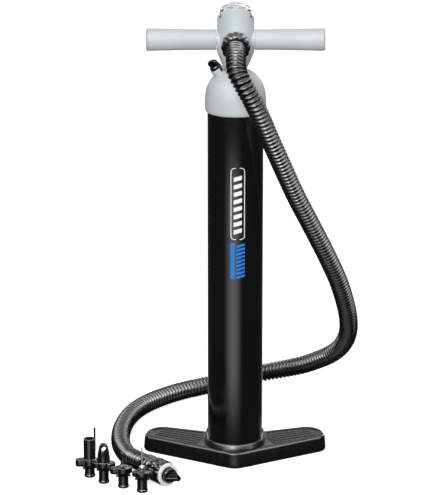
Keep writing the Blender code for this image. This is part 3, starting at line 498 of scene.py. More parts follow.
@dataclass(frozen=True)
class Metal(Finish):
    """A turned or plated metal, with fine tool lines and an uneven polish."""

    roughness: float
    lines: Triple = (1.0, 1.0, 1.0)
    line_depth: float = 0.00001
    metalness: float = 1.0

    def paint(self, shader: Shader) -> None:
        """Wires the stains and the tool lines."""
        shader.set(Metallic=self.metalness, Coat_Weight=0.2 * (1 - self.metalness), Coat_Roughness=0.05)
        shader.mottle(shader.noise(90.0, 4.0), shaded(self.colour, 0.86), self.colour)
        tool = shader.noise(2400.0, 3.0, self.lines)
        shader.polish(tool, max(0.02, self.roughness - 0.05), self.roughness + 0.08)
        shader.relief((tool, 0.25, self.line_depth))


@dataclass(frozen=True)
class Rubber(Finish):
    """A soft seal or strap: matt, with a dusty bloom and a talc-fine grain."""

    bloom: Triple
    roughness: float = 0.72

    def paint(self, shader: Shader) -> None:
        """Wires the bloom and the grain."""
        shader.set(Specular_IOR_Level=0.35, Sheen_Weight=0.08)
        dust = shader.noise(210.0, 6.0)
        shader.mottle(dust, self.colour, self.bloom)
        shader.polish(dust, self.roughness - 0.08, self.roughness + 0.1)
        shader.relief((shader.noise(3200.0, 2.0), 0.5, 0.00004))


@dataclass(frozen=True)
class ClearPlastic(Finish):
    """The gauge's moulded lens: mostly see-through, with a pale partial cover that is a painted silvery
    sheen, a hard gloss and faint swirl marks.
    """

    # How much of the pale colour covers the clear lens: a painted sheen.
    cover: float

    def paint(self, shader: Shader) -> None:
        """Wires the painted sheen of the pale cover, and the swirl marks."""
        # The pale colour at partial cover is a painted sheen, standing in for the lens's reflections.
        shader.set(Alpha=self.cover, Specular_IOR_Level=0.9, Coat_Weight=1.0, Coat_Roughness=0.03)
        swirl = shader.noise(500.0, 5.0, (1.0, 1.0, 0.2))
        shader.mottle(swirl, shaded(self.colour, 0.94), self.colour)
        shader.polish(swirl, 0.02, 0.09)
        shader.relief((shader.noise(160.0, 1.0), 0.05, 0.0001))


@dataclass(frozen=True)
class Ink(Finish):
    """A printed or enamelled mark: flat, slightly uneven cover with a soft gloss."""

    roughness: float = 0.4

    def paint(self, shader: Shader) -> None:
        """Wires the uneven cover."""
        shader.set(Specular_IOR_Level=0.4)
        cover = shader.noise(700.0, 4.0)
        shader.mottle(cover, shaded(self.colour, 0.88), self.colour)
        shader.polish(cover, self.roughness - 0.05, self.roughness + 0.1)
        shader.relief((cover, 0.15, 0.00002))


GREY = Plastic(
    "satin_grey_shell", (0.490, 0.528, 0.547), 0.48, 0.02, grain_depth=0.00002, waviness=0.05, specular=0.3
)
GRIP = Plastic(
    "soft_grey_grip", (0.485, 0.517, 0.535), 0.52, 0.02, grain_depth=0.00003, waviness=0.05, specular=0.3
)
BLACK = Plastic("satin_black_moulding", (0.0042, 0.0042, 0.0048), 0.30, 0.15, specular=0.42)
FITTING = Plastic("glossy_black_fitting", (0.0036, 0.0036, 0.0042), 0.20, 0.15, 0.05, coat=0.15)
INNER = Plastic("inner_black_moulding", (0.016, 0.016, 0.018), 0.45, 0.2)
BARREL = Tubing("gloss_black_tube", (0.0042, 0.0042, 0.0046), 0.12)
# The hose's second colour is the painted shade of its rib valleys.
HOSE = RibbedPlastic("gloss_black_ribs", (0.0034, 0.0034, 0.0038), (0.0012, 0.0012, 0.0014))
CHROME = Metal("bright_plating", (0.83, 0.83, 0.86), 0.16, line_depth=0.000004, metalness=0.75)
STEEL = Metal("drawn_steel", (0.60, 0.60, 0.62), 0.24, (1.0, 1.0, 0.05))
NEEDLE_STEEL = Metal("nickelled_needle", (0.70, 0.69, 0.66), 0.22, (1.0, 1.0, 0.1))
SEAL = Rubber("black_seal_rubber", (0.012, 0.012, 0.012), (0.030, 0.030, 0.031))
PALE_SEAL = Rubber("pale_gasket_rubber", (0.74, 0.75, 0.77), (0.82, 0.83, 0.85), 0.5)
# The lens's pale colour at partial cover is a painted silvery sheen, not a tint of the lens.
PAINTED_SHEEN_LENS = ClearPlastic("clear_lens_moulding", (0.60, 0.61, 0.65), 0.34)
DIAL = Ink("white_dial_face", (0.66, 0.67, 0.70))
MARKS = Ink("black_dial_marks", (0.02, 0.02, 0.022))
POINTER = Ink("red_pointer_enamel", (0.55, 0.03, 0.02), 0.3)
WHITE_INK = Ink("white_print", (0.86, 0.87, 0.88))
BLUE_INK = Ink("blue_print", (0.015, 0.19, 0.62))

# ---------------------------------------------------------------- solids


def aim(point: Sequence[float] = (0.0, 0.0, 0.0), axis: Sequence[float] = (0.0, 0.0, 1.0)) -> Matrix:
    """Returns the place at a point whose +Z lies along an axis, by the shortest turn."""
    turn = Vector((0.0, 0.0, 1.0)).rotation_difference(Vector(axis)).to_matrix().to_4x4()
    return Matrix.Translation(point) @ turn


def spun(degrees: float, axis: str = "Z") -> Matrix:
    """Returns a turn about one of the three axes."""
    return Matrix.Rotation(math.radians(degrees), 4, axis)


def eased(points: Path, radius: float, steps: int = 4, closed: bool = False) -> list[Pair]:
    """Rounds the corners of a path.

    Args:
        points: the path's corners.
        radius: how far back from a corner its rounding starts, where the sides allow.
        steps: the number of segments in each rounding.
        closed: whether the path returns to its start.

    Returns:
        The rounded path.
    """
    path: list[Pair] = []
    count = len(points)
    for index, point in enumerate(points):
        corner = Vector(point)
        back = Vector(points[index - 1]) - corner
        ahead = Vector(points[(index + 1) % count]) - corner
        at_end = not closed and index in (0, count - 1)
        if at_end or min(back.length, ahead.length) < TINY or back.angle(ahead) > STRAIGHT:
            path.append((corner.x, corner.y))
            continue
        reach = min(radius, MOST_OF_HALF * back.length, MOST_OF_HALF * ahead.length)
        start = corner + back.normalized() * reach
        end = corner + ahead.normalized() * reach
        for step in range(steps + 1):
            t = step / steps
            spot = start * (1 - t) ** 2 + corner * 2 * t * (1 - t) + end * t * t
            path.append((spot.x, spot.y))
    return path


def arc(centre: Pair, radius: float, start: float, end: float, steps: int) -> list[Pair]:
    """Returns points along an arc, with angles in degrees."""
    angles = [math.radians(start + (end - start) * i / steps) for i in range(steps + 1)]
    return [(centre[0] + radius * math.cos(a), centre[1] + radius * math.sin(a)) for a in angles]


def stadium(length: float, width: float, steps: int) -> list[Pair]:
    """Returns the outline of a bar with round ends, along X."""
    half = (length - width) / 2
    return arc((half, 0.0), width / 2, -90, 90, steps) + arc((-half, 0.0), width / 2, 90, 270, steps)


def new_object(name: str, work: bmesh.types.BMesh, place: Matrix | None = None) -> bpy.types.Object:
    """Turns work in progress into a smooth-shaded object at the origin.

    Args:
        name: the object's name.
        work: the mesh, which is freed.
        place: where it stands; its vertices are moved there.

    Returns:
        The object.
    """
    mesh = bpy.data.meshes.new(name)
    if place is not None:
        work.transform(place)
    work.to_mesh(mesh)
    work.free()
    obj = bpy.data.objects.new(name, mesh)
    bpy.context.scene.collection.objects.link(obj)
    return shade(obj)


def shade(obj: bpy.types.Object, angle: float = SHARP) -> bpy.types.Object:
    """Shades a mesh smooth, with sharp edges where faces meet at more than an angle, and returns it."""
    obj.data.shade_smooth()
    obj.data.set_sharp_from_angle(angle=angle)
    return obj


def turned(
    name: str, profile: Path, place: Matrix | None = None, steps: int = 96, ring: bool = False
) -> bpy.types.Object:
    """Makes a turned solid.

    Args:
        name: the object's name.
        profile: (radius, z) points down the outer side, top to bottom.
        place: where it stands.
        steps: the number of sides.
        ring: whether the profile comes back up an inner side and closes on itself.

    Returns:
        The solid.
    """
    work = bmesh.new()
    rows = []
    for radius, z in profile:
        if radius < TINY:
            rows.append([work.verts.new((0.0, 0.0, z))] * steps)
        else:
            angles = [TAU * i / steps for i in range(steps)]
            rows.append([work.verts.new((radius * math.cos(a), radius * math.sin(a), z)) for a in angles])
    for upper, lower in zip(rows, rows[1:] + (rows[:1] if ring else [])):
        for i in range(steps):
            j = (i + 1) % steps
            corners = [upper[i], lower[i], lower[j], upper[j]]
            unique = list(dict.fromkeys(corners))
            if len(unique) > 2:
                work.faces.new(unique)
    return new_object(name, work, place)


def hoop(
    name: str, corners: Path, soft: float, place: Matrix | None = None, steps: int = 96, easing: int = 4
) -> bpy.types.Object:
    """Returns a turned ring through a closed outline with eased corners."""
    return turned(name, eased(corners, soft, easing, closed=True), place, steps, ring=True)


def sleeve(
    name: str, outer: float, inner: float, low: float, high: float, place: Matrix | None = None,
    soft: float = 0.0004
) -> bpy.types.Object:
    """Returns a ring or sleeve with eased edges."""
    corners = ((outer, high), (outer, low), (inner, low), (inner, high))
    return hoop(name, corners, soft, place, easing=3)


def shaft(
    name: str, radius: float, low: float, high: float, place: Matrix | None = None, steps: int = 48
) -> bpy.types.Object:
    """Returns a plain cylinder, as a helper or a hidden core."""
    return turned(name, ((0.0, high), (radius, high), (radius, low), (0.0, low)), place, steps)


def lofted(name: str, rings: Sequence[tuple[float, Path]], place: Matrix | None = None) -> bpy.types.Object:
    """Makes a closed solid through outlines of equal count.

    Args:
        name: the object's name.
        rings: (z, anticlockwise outline), lowest first.
        place: where it stands.

    Returns:
        The solid.
    """
    work = bmesh.new()
    rows = [[work.verts.new((x, y, z)) for x, y in outline] for z, outline in rings]
    count = len(rows[0])
    for low, high in zip(rows, rows[1:]):
        for i in range(count):
            j = (i + 1) % count
            work.faces.new((low[i], low[j], high[j], high[i]))
    work.faces.new(list(reversed(rows[0])))
    work.faces.new(rows[-1])
    return new_object(name, work, place)


def slab(
    name: str, outline: Path, low: float, high: float, edge: float, place: Matrix | None = None
) -> bpy.types.Object:
    """Makes a plate with rounded top and bottom edges.

    Args:
        name: the object's name.
        outline: its anticlockwise outline.
        low: its underside.
        high: its top.
        edge: the radius of its edges.
        place: where it stands.

    Returns:
        The solid.
    """
    turns = [math.pi / 2 * step / 3 for step in range(4)]
    levels = [(low + edge * (1 - math.cos(a)), edge * (1 - math.sin(a))) for a in turns]
    upper = [(low + high - z, inset) for z, inset in reversed(levels)]
    return lofted(name, [(z, shrunk(outline, inset)) for z, inset in levels + upper], place)


def shrunk(outline: Path, distance: float) -> list[Pair]:
    """Returns an anticlockwise outline moved inwards, point by point."""
    moved = []
    count = len(outline)
    for index, point in enumerate(outline):
        ahead = Vector(outline[(index + 1) % count]) - Vector(outline[index - 1])
        if ahead.length > TINY:
            ahead.normalize()
        moved.append((point[0] - ahead.y * distance, point[1] + ahead.x * distance))
    return moved


def box(name: str, size: Sequence[float], place: Matrix) -> bpy.types.Object:
    """Returns a box centred on a place, as a helper."""
    work = bmesh.new()
    bmesh.ops.create_cube(work, size=1.0, matrix=Matrix.Diagonal((*size, 1.0)))
    return new_object(name, work, place)


def settle(obj: bpy.types.Object) -> bpy.types.Object:
    """Bakes an object's modifiers into its mesh, and returns it."""
    graph = bpy.context.evaluated_depsgraph_get()
    old = obj.data
    obj.data = bpy.data.meshes.new_from_object(obj.evaluated_get(graph))
    obj.modifiers.clear()
    bpy.data.meshes.remove(old)
    return shade(obj)


def worked(obj: bpy.types.Object, operation: Operation, *tools: bpy.types.Object) -> bpy.types.Object:
    """Cuts helpers from a piece or joins them to it.

    Args:
        obj: the piece.
        operation: what the helpers do.
        tools: the helpers, which are used up.

    Returns:
        The piece.
    """
    for tool in tools:
        step = obj.modifiers.new(tool.name, "BOOLEAN")
        step.operation = operation.value
        step.object = tool
        step.solver = "EXACT"
    settle(obj)
    for tool in tools:
        bpy.data.objects.remove(tool)
    return obj


def softened(
    obj: bpy.types.Object, width: float, segments: int = 3, angle: float = 32.0
) -> bpy.types.Object:
    """Rounds a piece's sharp edges.

    Args:
        obj: the piece.
        width: the rounding's width.
        segments: its segments.
        angle: the least angle between faces that is rounded, in degrees.

    Returns:
        The piece.
    """
    weld = obj.modifiers.new("weld", "WELD")
    weld.merge_threshold = 10 * TINY
    bevel = obj.modifiers.new("edges", "BEVEL")
    bevel.width = width
    bevel.segments = segments
    bevel.limit_method = "ANGLE"
    bevel.angle_limit = math.radians(angle)
    bevel.use_clamp_overlap = True
    bevel.harden_normals = False
    return settle(obj)


def fitted(
    obj: bpy.types.Object, body: Body, finish: Finish, replaced: Sequence[str] = ()
) -> bpy.types.Object:
    """Dresses a finished piece and seats it on its body.

    Args:
        obj: the piece.
        body: the body that it rides on.
        finish: its finish.
        replaced: the solids that it stands for.

    Returns:
        The piece.
    """
    obj.data.materials.clear()
    obj.data.materials.append(finish.material())
    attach(obj, body.value)
    if replaced:
        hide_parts(*replaced)
    LOG.info("%s: %d faces, rides on %s", obj.name, len(obj.data.polygons), body.value)
    return obj


# ---------------------------------------------------------------- sub-assemblies


@dataclass
class Footplate:
    """The moulded foot: two wings with treads, and the drum that the barrel stands in."""

    nose_y: float = -0.0525
    wing_front: Pair = (0.1285, 0.0231)
    wing_back: Pair = (0.1175, 0.0705)
    crotch_y: float = 0.0313
    corner_radii: tuple[float, ...] = (0.020, 0.016, 0.024, 0.020, 0.024, 0.016)
    wing_top: float = 0.023
    draft: float = 0.0012
    edge: float = 0.0040
    sole_edge: tuple[Pair, ...] = ((0.0, 0.0026), (0.0007, 0.0014), (0.0020, 0.0005), (0.0045, 0.0))
    wall: float = 0.0042
    pocket_top: float = 0.019
    barrel_bore: float = 0.0378
    drum_side: Path = (
        (0.0372, 0.0315), (0.0388, 0.0315), (0.0399, 0.0302), (0.0410, 0.0278), (0.0421, 0.0250),
        (0.0434, 0.0180), (0.0441, 0.0100), (0.0444, 0.0002), (0.0372, 0.0002)
    )
    lug_size: tuple[float, ...] = (0.0397, 0.0365, 0.0262, 0.0390)
    lug_slope: float = -32.0
    pocket_core: float = 0.0420
    tread_rim: float = 0.0085
    tread_depth: float = 0.0012
    tread_start: float = 0.0440
    tread_count: int = 5
    tread_pitch: float = 0.0078
    tread_length: float = 0.0660
    tread_width: float = 0.0030
    tread_reach: float = 0.0840
    tread_wall: float = 0.0007
    tread_crown: float = 0.0009
    wing_angle: float = 24.5
    wing_middle_y: float = -0.0106

    def outline(self, inset: float) -> list[Pair]:
        """Returns the chevron, moved inwards by a distance."""
        (fx, fy), (bx, by) = self.wing_front, self.wing_back
        corners = [(0.0, self.nose_y), (fx, fy), (bx, by), (0.0, self.crotch_y), (-bx, by), (-fx, fy)]
        moved = []
        for i, corner in enumerate(corners):
            before = (Vector(corner) - Vector(corners[i - 1])).normalized()
            after = (Vector(corners[(i + 1) % 6]) - Vector(corner)).normalized()
            inward = Vector((-before.y - after.y, before.x + after.x))
            moved.append(Vector(corner) + inward * inset / (1 + before.dot(after)))
        signs = (-1, -1, -1, 1, -1, -1)
        points: list[Pair] = []
        for i, (radius, sign) in enumerate(zip(self.corner_radii, signs)):
            radius += sign * inset
            back = (moved[i - 1] - moved[i]).normalized()
            ahead = (moved[(i + 1) % 6] - moved[i]).normalized()
            half = back.angle(ahead) / 2
            centre = moved[i] + (back + ahead).normalized() * radius / math.sin(half)
            first = moved[i] + back * radius / math.tan(half) - centre
            last = moved[i] + ahead * radius / math.tan(half) - centre
            sweep = first.angle_signed(last)
            for step in range(13):
                point = centre + Matrix.Rotation(-sweep * step / 12, 2) @ first
                points.append((point.x, point.y))
        return points

    def build_foot(self) -> bpy.types.Object:
        """Builds the foot's moulding: wings, drum, outer lug, sole pocket and tread recesses."""
        rise = self.wing_top - self.edge
        rings = [(z, self.outline(inset)) for z, inset in self.sole_edge]
        rings.append((rise, self.outline(self.draft)))
        for step in range(1, 6):
            angle = math.pi / 2 * step / 5
            inset = self.draft + self.edge * (1 - math.cos(angle))
            rings.append((rise + self.edge * math.sin(angle), self.outline(inset)))
        foot = lofted("footplate_moulding", rings)
        drum = hoop("drum_helper", self.drum_side, 0.0009, easing=3)
        lug = sleeve("lug_helper", *self.lug_size, soft=0.0006)
        slope = aim((0.0, -0.0385, 0.046)) @ spun(self.lug_slope, "X")
        worked(lug, Operation.CUT, box("lug_slope", (0.2, 0.06, 0.03), slope))
        pocket_outline = self.outline(self.wall)
        pocket = lofted("pocket_helper", [(-0.001, pocket_outline), (self.pocket_top, pocket_outline)])
        worked(pocket, Operation.CUT, shaft("pocket_core", self.pocket_core, 0.0033, 0.03, steps=96))
        bore = shaft("bore_helper", self.barrel_bore, -0.01, 0.05, steps=96)
        outline = self.outline(self.tread_rim)
        floor = self.wing_top - self.tread_depth
        recess = lofted("recess_helper", [(floor, outline), (self.wing_top + 0.002, outline)])
        middle = box("recess_middle", (2 * self.tread_start, 0.3, 0.1), Matrix.Identity(4))
        worked(recess, Operation.CUT, middle)
        worked(foot, Operation.JOIN, drum, lug)
        worked(foot, Operation.CUT, pocket, bore, recess)
        softened(foot, 0.0007, 3)
        return fitted(foot, Body.PUMP, BLACK, ("base_foot",))

    def build_treads(self) -> None:
        """Grows each wing's row of treads."""
        grower = row_tree()
        floor = self.wing_top - self.tread_depth
        for side, word in ((-1, "left"), (1, "right")):
            angle = math.radians(self.wing_angle) * side
            outline = stadium(self.tread_length, self.tread_width, 8)
            rings = [(0.0, outline)]
            for step in range(4):
                turn = math.pi / 2 * step / 3
                height = self.tread_wall + self.tread_crown * math.sin(turn)
                rings.append((height, shrunk(outline, self.tread_crown * (1 - math.cos(turn)))))
            bar = lofted("tread_shape", rings)
            rise = self.wing_middle_y + self.tread_reach * abs(math.sin(angle))
            middle = (side * self.tread_reach * math.cos(angle), rise, floor - 0.0003)
            place = Matrix.Translation(middle) @ Matrix.Rotation(angle, 4, "Z")
            start = -(self.tread_count - 1) / 2 * self.tread_pitch
            treads = grower.grow(
                f"{word}_wing_treads", bar, BLACK.material(), place, Count=self.tread_count,
                Start=(0.0, start, 0.0), Step=(0.0, self.tread_pitch, 0.0)
            )
            fitted(shade(treads), Body.PUMP, BLACK)


@dataclass
class Barrel:
    """The gloss tube and the plain printed panel on its front."""

    radius: float = 0.0375
    bore: float = 0.0353
    bottom: float = 0.0035
    top: float = 0.5005
    print_lift: float = 0.00007
    panel_low: float = 0.3226
    panel_high: float = 0.4222
    panel_left: float = -0.0066
    panel_right: float = 0.0128
    block_low: float = 0.2680
    block_high: float = 0.3180
    white_bars: int = 8
    blue_bars: int = 9
    lean: float = 0.0030

    def build_tube(self) -> None:
        """Builds the tube."""
        tube = sleeve("barrel_tube", self.radius, self.bore, self.bottom, self.top, soft=0.0005)
        fitted(tube, Body.PUMP, BARREL, ("barrel",))

    def on_tube(self, s: float, z: float) -> Triple:
        """Returns the point of the printed skin at a distance round the tube from its front, and a height."""
        radius = self.radius + self.print_lift
        angle = s / self.radius - math.pi / 2
        return (radius * math.cos(angle), radius * math.sin(angle), z)

    def print_strips(self, name: str, strips: Sequence[tuple[Path, Path]], finish: Ink) -> None:
        """Lays printed strips on the tube.

        Args:
            name: the piece's name.
            strips: pairs of edges of equal count, each (distance round, height), left edge first.
            finish: the ink.
        """
        work = bmesh.new()
        for first, second in strips:
            near = [work.verts.new(self.on_tube(*p)) for p in first]
            far = [work.verts.new(self.on_tube(*p)) for p in second]
            for i in range(len(near) - 1):
                work.faces.new((near[i], far[i], far[i + 1], near[i + 1]))
        fitted(new_object(name, work), Body.PUMP, finish)

    def slanted(self, left: float, right: float, low: float, high: float, lean: float) -> tuple[Path, Path]:
        """Returns a bar's lower and upper edges, leaning upwards from left to right."""
        count = 9
        marks = [left + (right - left) * i / (count - 1) for i in range(count)]
        rise = [lean * (m - left) / (right - left) for m in marks]
        upper = [(m, high + r) for m, r in zip(marks, rise)]
        lower = [(m, low + r) for m, r in zip(marks, rise)]
        return upper, lower

    def build_print(self) -> None:
        """Prints the plain panel: a white frame with white bars in it, over a blue block of bars."""
        left, right, low, high = self.panel_left, self.panel_right, self.panel_low, self.panel_high
        corners = ((left, low), (right, low), (right, high), (left, high))
        outer = eased(corners, 0.006, 6, closed=True)
        inner = shrunk(outer, 0.0011)
        frame = (inner + inner[:1], outer + outer[:1])
        bars = []
        for i in range(self.white_bars):
            foot = low + 0.0075 + i * 0.0104
            bars.append(self.slanted(left + 0.0042, right - 0.0042, foot, foot + 0.0058, self.lean))
        self.print_strips("barrel_print_white", [frame, *bars], WHITE_INK)
        blue = [self.slanted(left, left + 0.0058, self.block_low, self.block_high, 0.0)]
        for i in range(self.blue_bars):
            foot = self.block_low + i * 0.0054
            blue.append(self.slanted(left + 0.0078, right, foot, foot + 0.0034, self.lean))
        self.print_strips("barrel_print_blue", blue, BLUE_INK)


@dataclass
class Cap:
    """The domed cap on the barrel, with its filler neck, stopper and strap."""

    dome_radius: float = 0.0405
    inner_radius: float = 0.0375
    dome_z: float = 0.511
    top: float = 0.5475
    bush_radius: float = 0.0128
    neck_point: Triple = (-0.0257, -0.0082, 0.5512)
    neck_axis: Triple = (-0.535, -0.136, 0.834)
    neck_bore: float = 0.0062
    strap_turn: float = -50.0
    tab_turn: float = -35.0

    def build_shell(self) -> None:
        """Builds the cap's shell and its neck."""
        dome = arc((0.0, self.dome_z), self.dome_radius, 64.3, 6.0, 28)
        dome[0] = (dome[0][0], self.top)
        inner = arc((0.0, self.dome_z), self.inner_radius, 24.6, 62.0, 12)
        rim = eased(
            (
                (0.04075, 0.5100), (0.0410, 0.5060), (0.0410, 0.4955), (0.0402, 0.4930), (0.0397, 0.4916),
                (0.0378, 0.4916)
            ),
            0.0012, 4
        )
        core = ((0.0378, 0.5010), (0.0341, 0.5010))
        well = (
            (0.0150, 0.5330), (0.0150, 0.5250), (self.bush_radius, 0.5250),
            (self.bush_radius, self.top - 0.0006)
        )
        lip = ((self.bush_radius + 0.0006, self.top),)
        shell = turned("cap_shell", [*dome, *rim, *core, *inner, *well, *lip], ring=True)
        neck_side = eased(
            (
                (0.0062, 0.0), (0.0083, 0.0), (0.0090, -0.0009), (0.0090, -0.0040), (0.0080, -0.0050),
                (0.0081, -0.0100), (0.0093, -0.0135), (0.0125, -0.0160)
            ),
            0.0011, 4
        )
        neck = turned(
            "neck_helper", [(0.0, 0.0), *neck_side, (0.0, -0.0160)], aim(self.neck_point, self.neck_axis),
            72
        )
        drill = shaft("neck_drill", self.neck_bore, -0.0132, 0.01, aim(self.neck_point, self.neck_axis), 64)
        middle = shaft("bush_space", self.bush_radius, 0.5200, 0.56, steps=96)
        worked(shell, Operation.JOIN, neck)
        worked(shell, Operation.CUT, drill, middle)
        fitted(shell, Body.PUMP, GREY, ("cap",))

    def build_stopper(self) -> None:
        """Builds the stopper with its pull tab, and the strap that keeps it."""
        place = aim(self.neck_point, self.neck_axis)
        side = eased(
            (
                (0.0, 0.0046), (0.0070, 0.0046), (0.0078, 0.0036), (0.0078, 0.0003), (0.0059, 0.0003),
                (0.0059, -0.0085), (0.0050, -0.0100), (0.0, -0.0100)
            ),
            0.0008, 4
        )
        stopper = turned("stopper_body", side, place, 64)
        lift = place @ Matrix.Translation((0.0, 0.0, 0.0078)) @ spun(self.tab_turn)
        upright = lift @ spun(90, "X")
        tab = slab("tab_helper", stadium(0.0155, 0.0110, 12), -0.0022, 0.0022, 0.0008, upright)
        eye_outline = arc((0.0044, 0.0003), 0.0012, -90, 90, 8) + arc((0.0034, 0.0003), 0.0012, 90, 270, 8)
        eye = lofted("eye_helper", [(-0.01, eye_outline), (0.01, eye_outline)], upright)
        worked(tab, Operation.CUT, eye)
        worked(stopper, Operation.JOIN, tab)
        softened(stopper, 0.0004, 2)
        fitted(stopper, Body.STOPPER, FITTING, ("mode_plug",))

        side = (
            (0.0080, 0.0018), (0.0093, 0.0018), (0.0093, -0.0030), (0.0094, -0.0050), (0.0105, -0.0050),
            (0.0104, -0.0026), (0.0104, 0.0030), (0.0080, 0.0030)
        )
        turn = spun(self.strap_turn) @ spun(90, "X")
        strap = slab(
            "stopper_strap", eased(side, 0.0012, 4, closed=True), -0.0019, 0.0019, 0.0002, place @ turn
        )
        strap.data.materials.append(SEAL.material())
        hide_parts("plug_strap")
        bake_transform(strap)


@dataclass
class Handle:
    """The hub with its funnel and lip, the grips with their pimples, and the rear screws."""

    bar_z: float = 0.5883
    hub_radius: float = 0.0245
    stub_radius: float = 0.0136
    stub_end: float = 0.0252
    lip_top: float = 0.6345
    shoulder: float = 0.6195
    cup_radius: float = 0.0218
    cup_floor: float = 0.6060
    port: Triple = (0.0, -0.0245, 0.5885)
    port_dip: float = 12.0
    boss_radius: float = 0.0170
    rod_bore: float = 0.0093
    bar_bore: float = 0.0088
    spigot_bore: float = 0.0121
    nut_seat_radius: float = 0.0204
    screw_x: float = 0.0115
    grip_start: float = 0.0255
    grip_end: float = 0.1168
    cap_end: float = 0.1188
    tip_radius: float = 0.0149
    pimple_rows: int = 5
    pimple_files: int = 9
    pimple_spread: float = 14.0

    def port_place(self) -> Matrix:
        """Returns the place of the outlet port, with +Z out of the hub."""
        dip = math.radians(self.port_dip)
        return aim(self.port, (0.0, -math.cos(dip), -math.sin(dip)))

    def build_hub(self) -> None:
        """Builds the hub's moulding."""
        side = eased(
            (
                (0.0, self.lip_top), (self.hub_radius - 0.0004, self.lip_top),
                (self.hub_radius, self.lip_top - 0.0006), (self.hub_radius, 0.5715), (0.0203, 0.5606),
                (0.0175, 0.5546), (0.0150, 0.5488), (0.0142, 0.5480), (0.0, 0.5480)
            ),
            0.0016, 5
        )
        hub = turned("hub_moulding", side)
        across = aim((0.0, 0.0, self.bar_z), (1.0, 0.0, 0.0))
        stub = shaft("stub_helper", self.stub_radius, -self.stub_end, self.stub_end, across, 72)
        port = self.port_place()
        boss = shaft("boss_helper", self.boss_radius, -0.0140, 0.0020, port, 72)
        worked(hub, Operation.JOIN, stub, boss)
        tools = [
            shaft("cup_helper", self.cup_radius, self.cup_floor, 0.66, steps=96),
            box("lip_back", (0.07, 0.060, 0.04), aim((0.0, 0.024, self.shoulder + 0.020)))
        ]
        for sign in (-1, 1):
            place = aim((sign * 0.0306, -0.028, self.lip_top + 0.0094)) @ spun(45, "Y")
            tools.append(box(f"lip_flank_{sign}", (0.040, 0.060, 0.040), place))
            place = aim((sign * 0.0295, -0.02, self.shoulder + 0.020))
            tools.append(box(f"lip_level_{sign}", (0.020, 0.060, 0.040), place))
        tools += [
            shaft("rod_socket", self.rod_bore, 0.54, 0.5773, steps=64),
            shaft("bar_tunnel", self.bar_bore, -0.05, 0.05, across, 64),
            shaft("spigot_pocket", self.spigot_bore, -0.0098, 0.05, port, 64),
            shaft("nut_seat", self.nut_seat_radius, 0.0021, 0.05, port, 96)
        ]
        for x in (-self.screw_x, self.screw_x):
            spot = aim((x, 0.0211, 0.5765), (0.0, 1.0, 0.0))
            tools.append(shaft(f"screw_sink_{x}", 0.0036, -0.0020, 0.01, spot, 40))
            tools.append(shaft(f"screw_pilot_{x}", 0.0017, -0.012, 0.01, spot, 24))
        worked(hub, Operation.CUT, *tools)
        softened(hub, 0.0008, 3)
        fitted(hub, Body.HANDLE, GREY, ("handle_hub",))

    def build_grips(self) -> None:
        """Builds each grip with its end cap, and grows its pimples."""
        rows, rings = row_tree(), ring_tree()
        spread = math.radians(self.pimple_spread)
        for side, word in ((-1.0, "left"), (1.0, "right")):
            place = aim((0.0, 0.0, self.bar_z), (side, 0.0, 0.0))
            outer = (
                (self.tip_radius, self.grip_end), (self.tip_radius - 0.0002, self.grip_end - 0.012),
                (0.0145, 0.0950), (0.0141, 0.0760), (0.0138, 0.0580), (self.stub_radius, 0.0420),
                (self.stub_radius, self.grip_start), (self.bar_bore, self.grip_start),
                (self.bar_bore, self.grip_end)
            )
            grip = hoop(f"{word}_grip_sleeve", outer, 0.0005, place, easing=3)
            fitted(grip, Body.HANDLE, GRIP, (f"{word}_grip",))
            tip = eased(
                (
                    (0.0, self.cap_end), (self.tip_radius - 0.0012, self.cap_end),
                    (self.tip_radius, self.cap_end - 0.0012), (self.tip_radius, self.grip_end + 0.0003),
                    (0.0060, self.grip_end + 0.0003), (0.0060, 0.1070), (0.0, 0.1070)
                ),
                0.0008, 4
            )
            end_cap = turned(f"{word}_grip_cap", tip, place)
            fitted(end_cap, Body.HANDLE, GRIP, (f"{word}_end_cap",))
            dome = turned(
                "pimple_shape",
                [
                    (0.0, 0.00030), (0.00035, 0.00024), (0.00060, 0.00010), (0.00068, -0.0002),
                    (0.0, -0.0002)
                ],
                aim((0.0141, 0.0, 0.0), (1.0, 0.0, 0.0)), 8
            )
            file = rows.grow(
                "pimple_file", dome, GRIP.material(), None, Count=self.pimple_files,
                Start=(0.0, 0.0, 0.0500), Step=(0.000055, 0.0, 0.0037)
            )
            pimples = rings.grow(
                f"{word}_grip_pimples", file, GRIP.material(), place, Count=self.pimple_rows,
                First_Angle=self.front_angle(side) - (self.pimple_rows - 1) / 2 * spread, Angle_Step=spread
            )
            fitted(shade(pimples), Body.HANDLE, GRIP)

    def front_angle(self, side: float) -> float:
        """Returns the angle round a grip's own axis that faces the front and a little up."""
        local = aim(axis=(side, 0.0, 0.0)).to_3x3().inverted() @ Vector((0.0, -0.86, 0.5))
        return math.atan2(local.y, local.x)


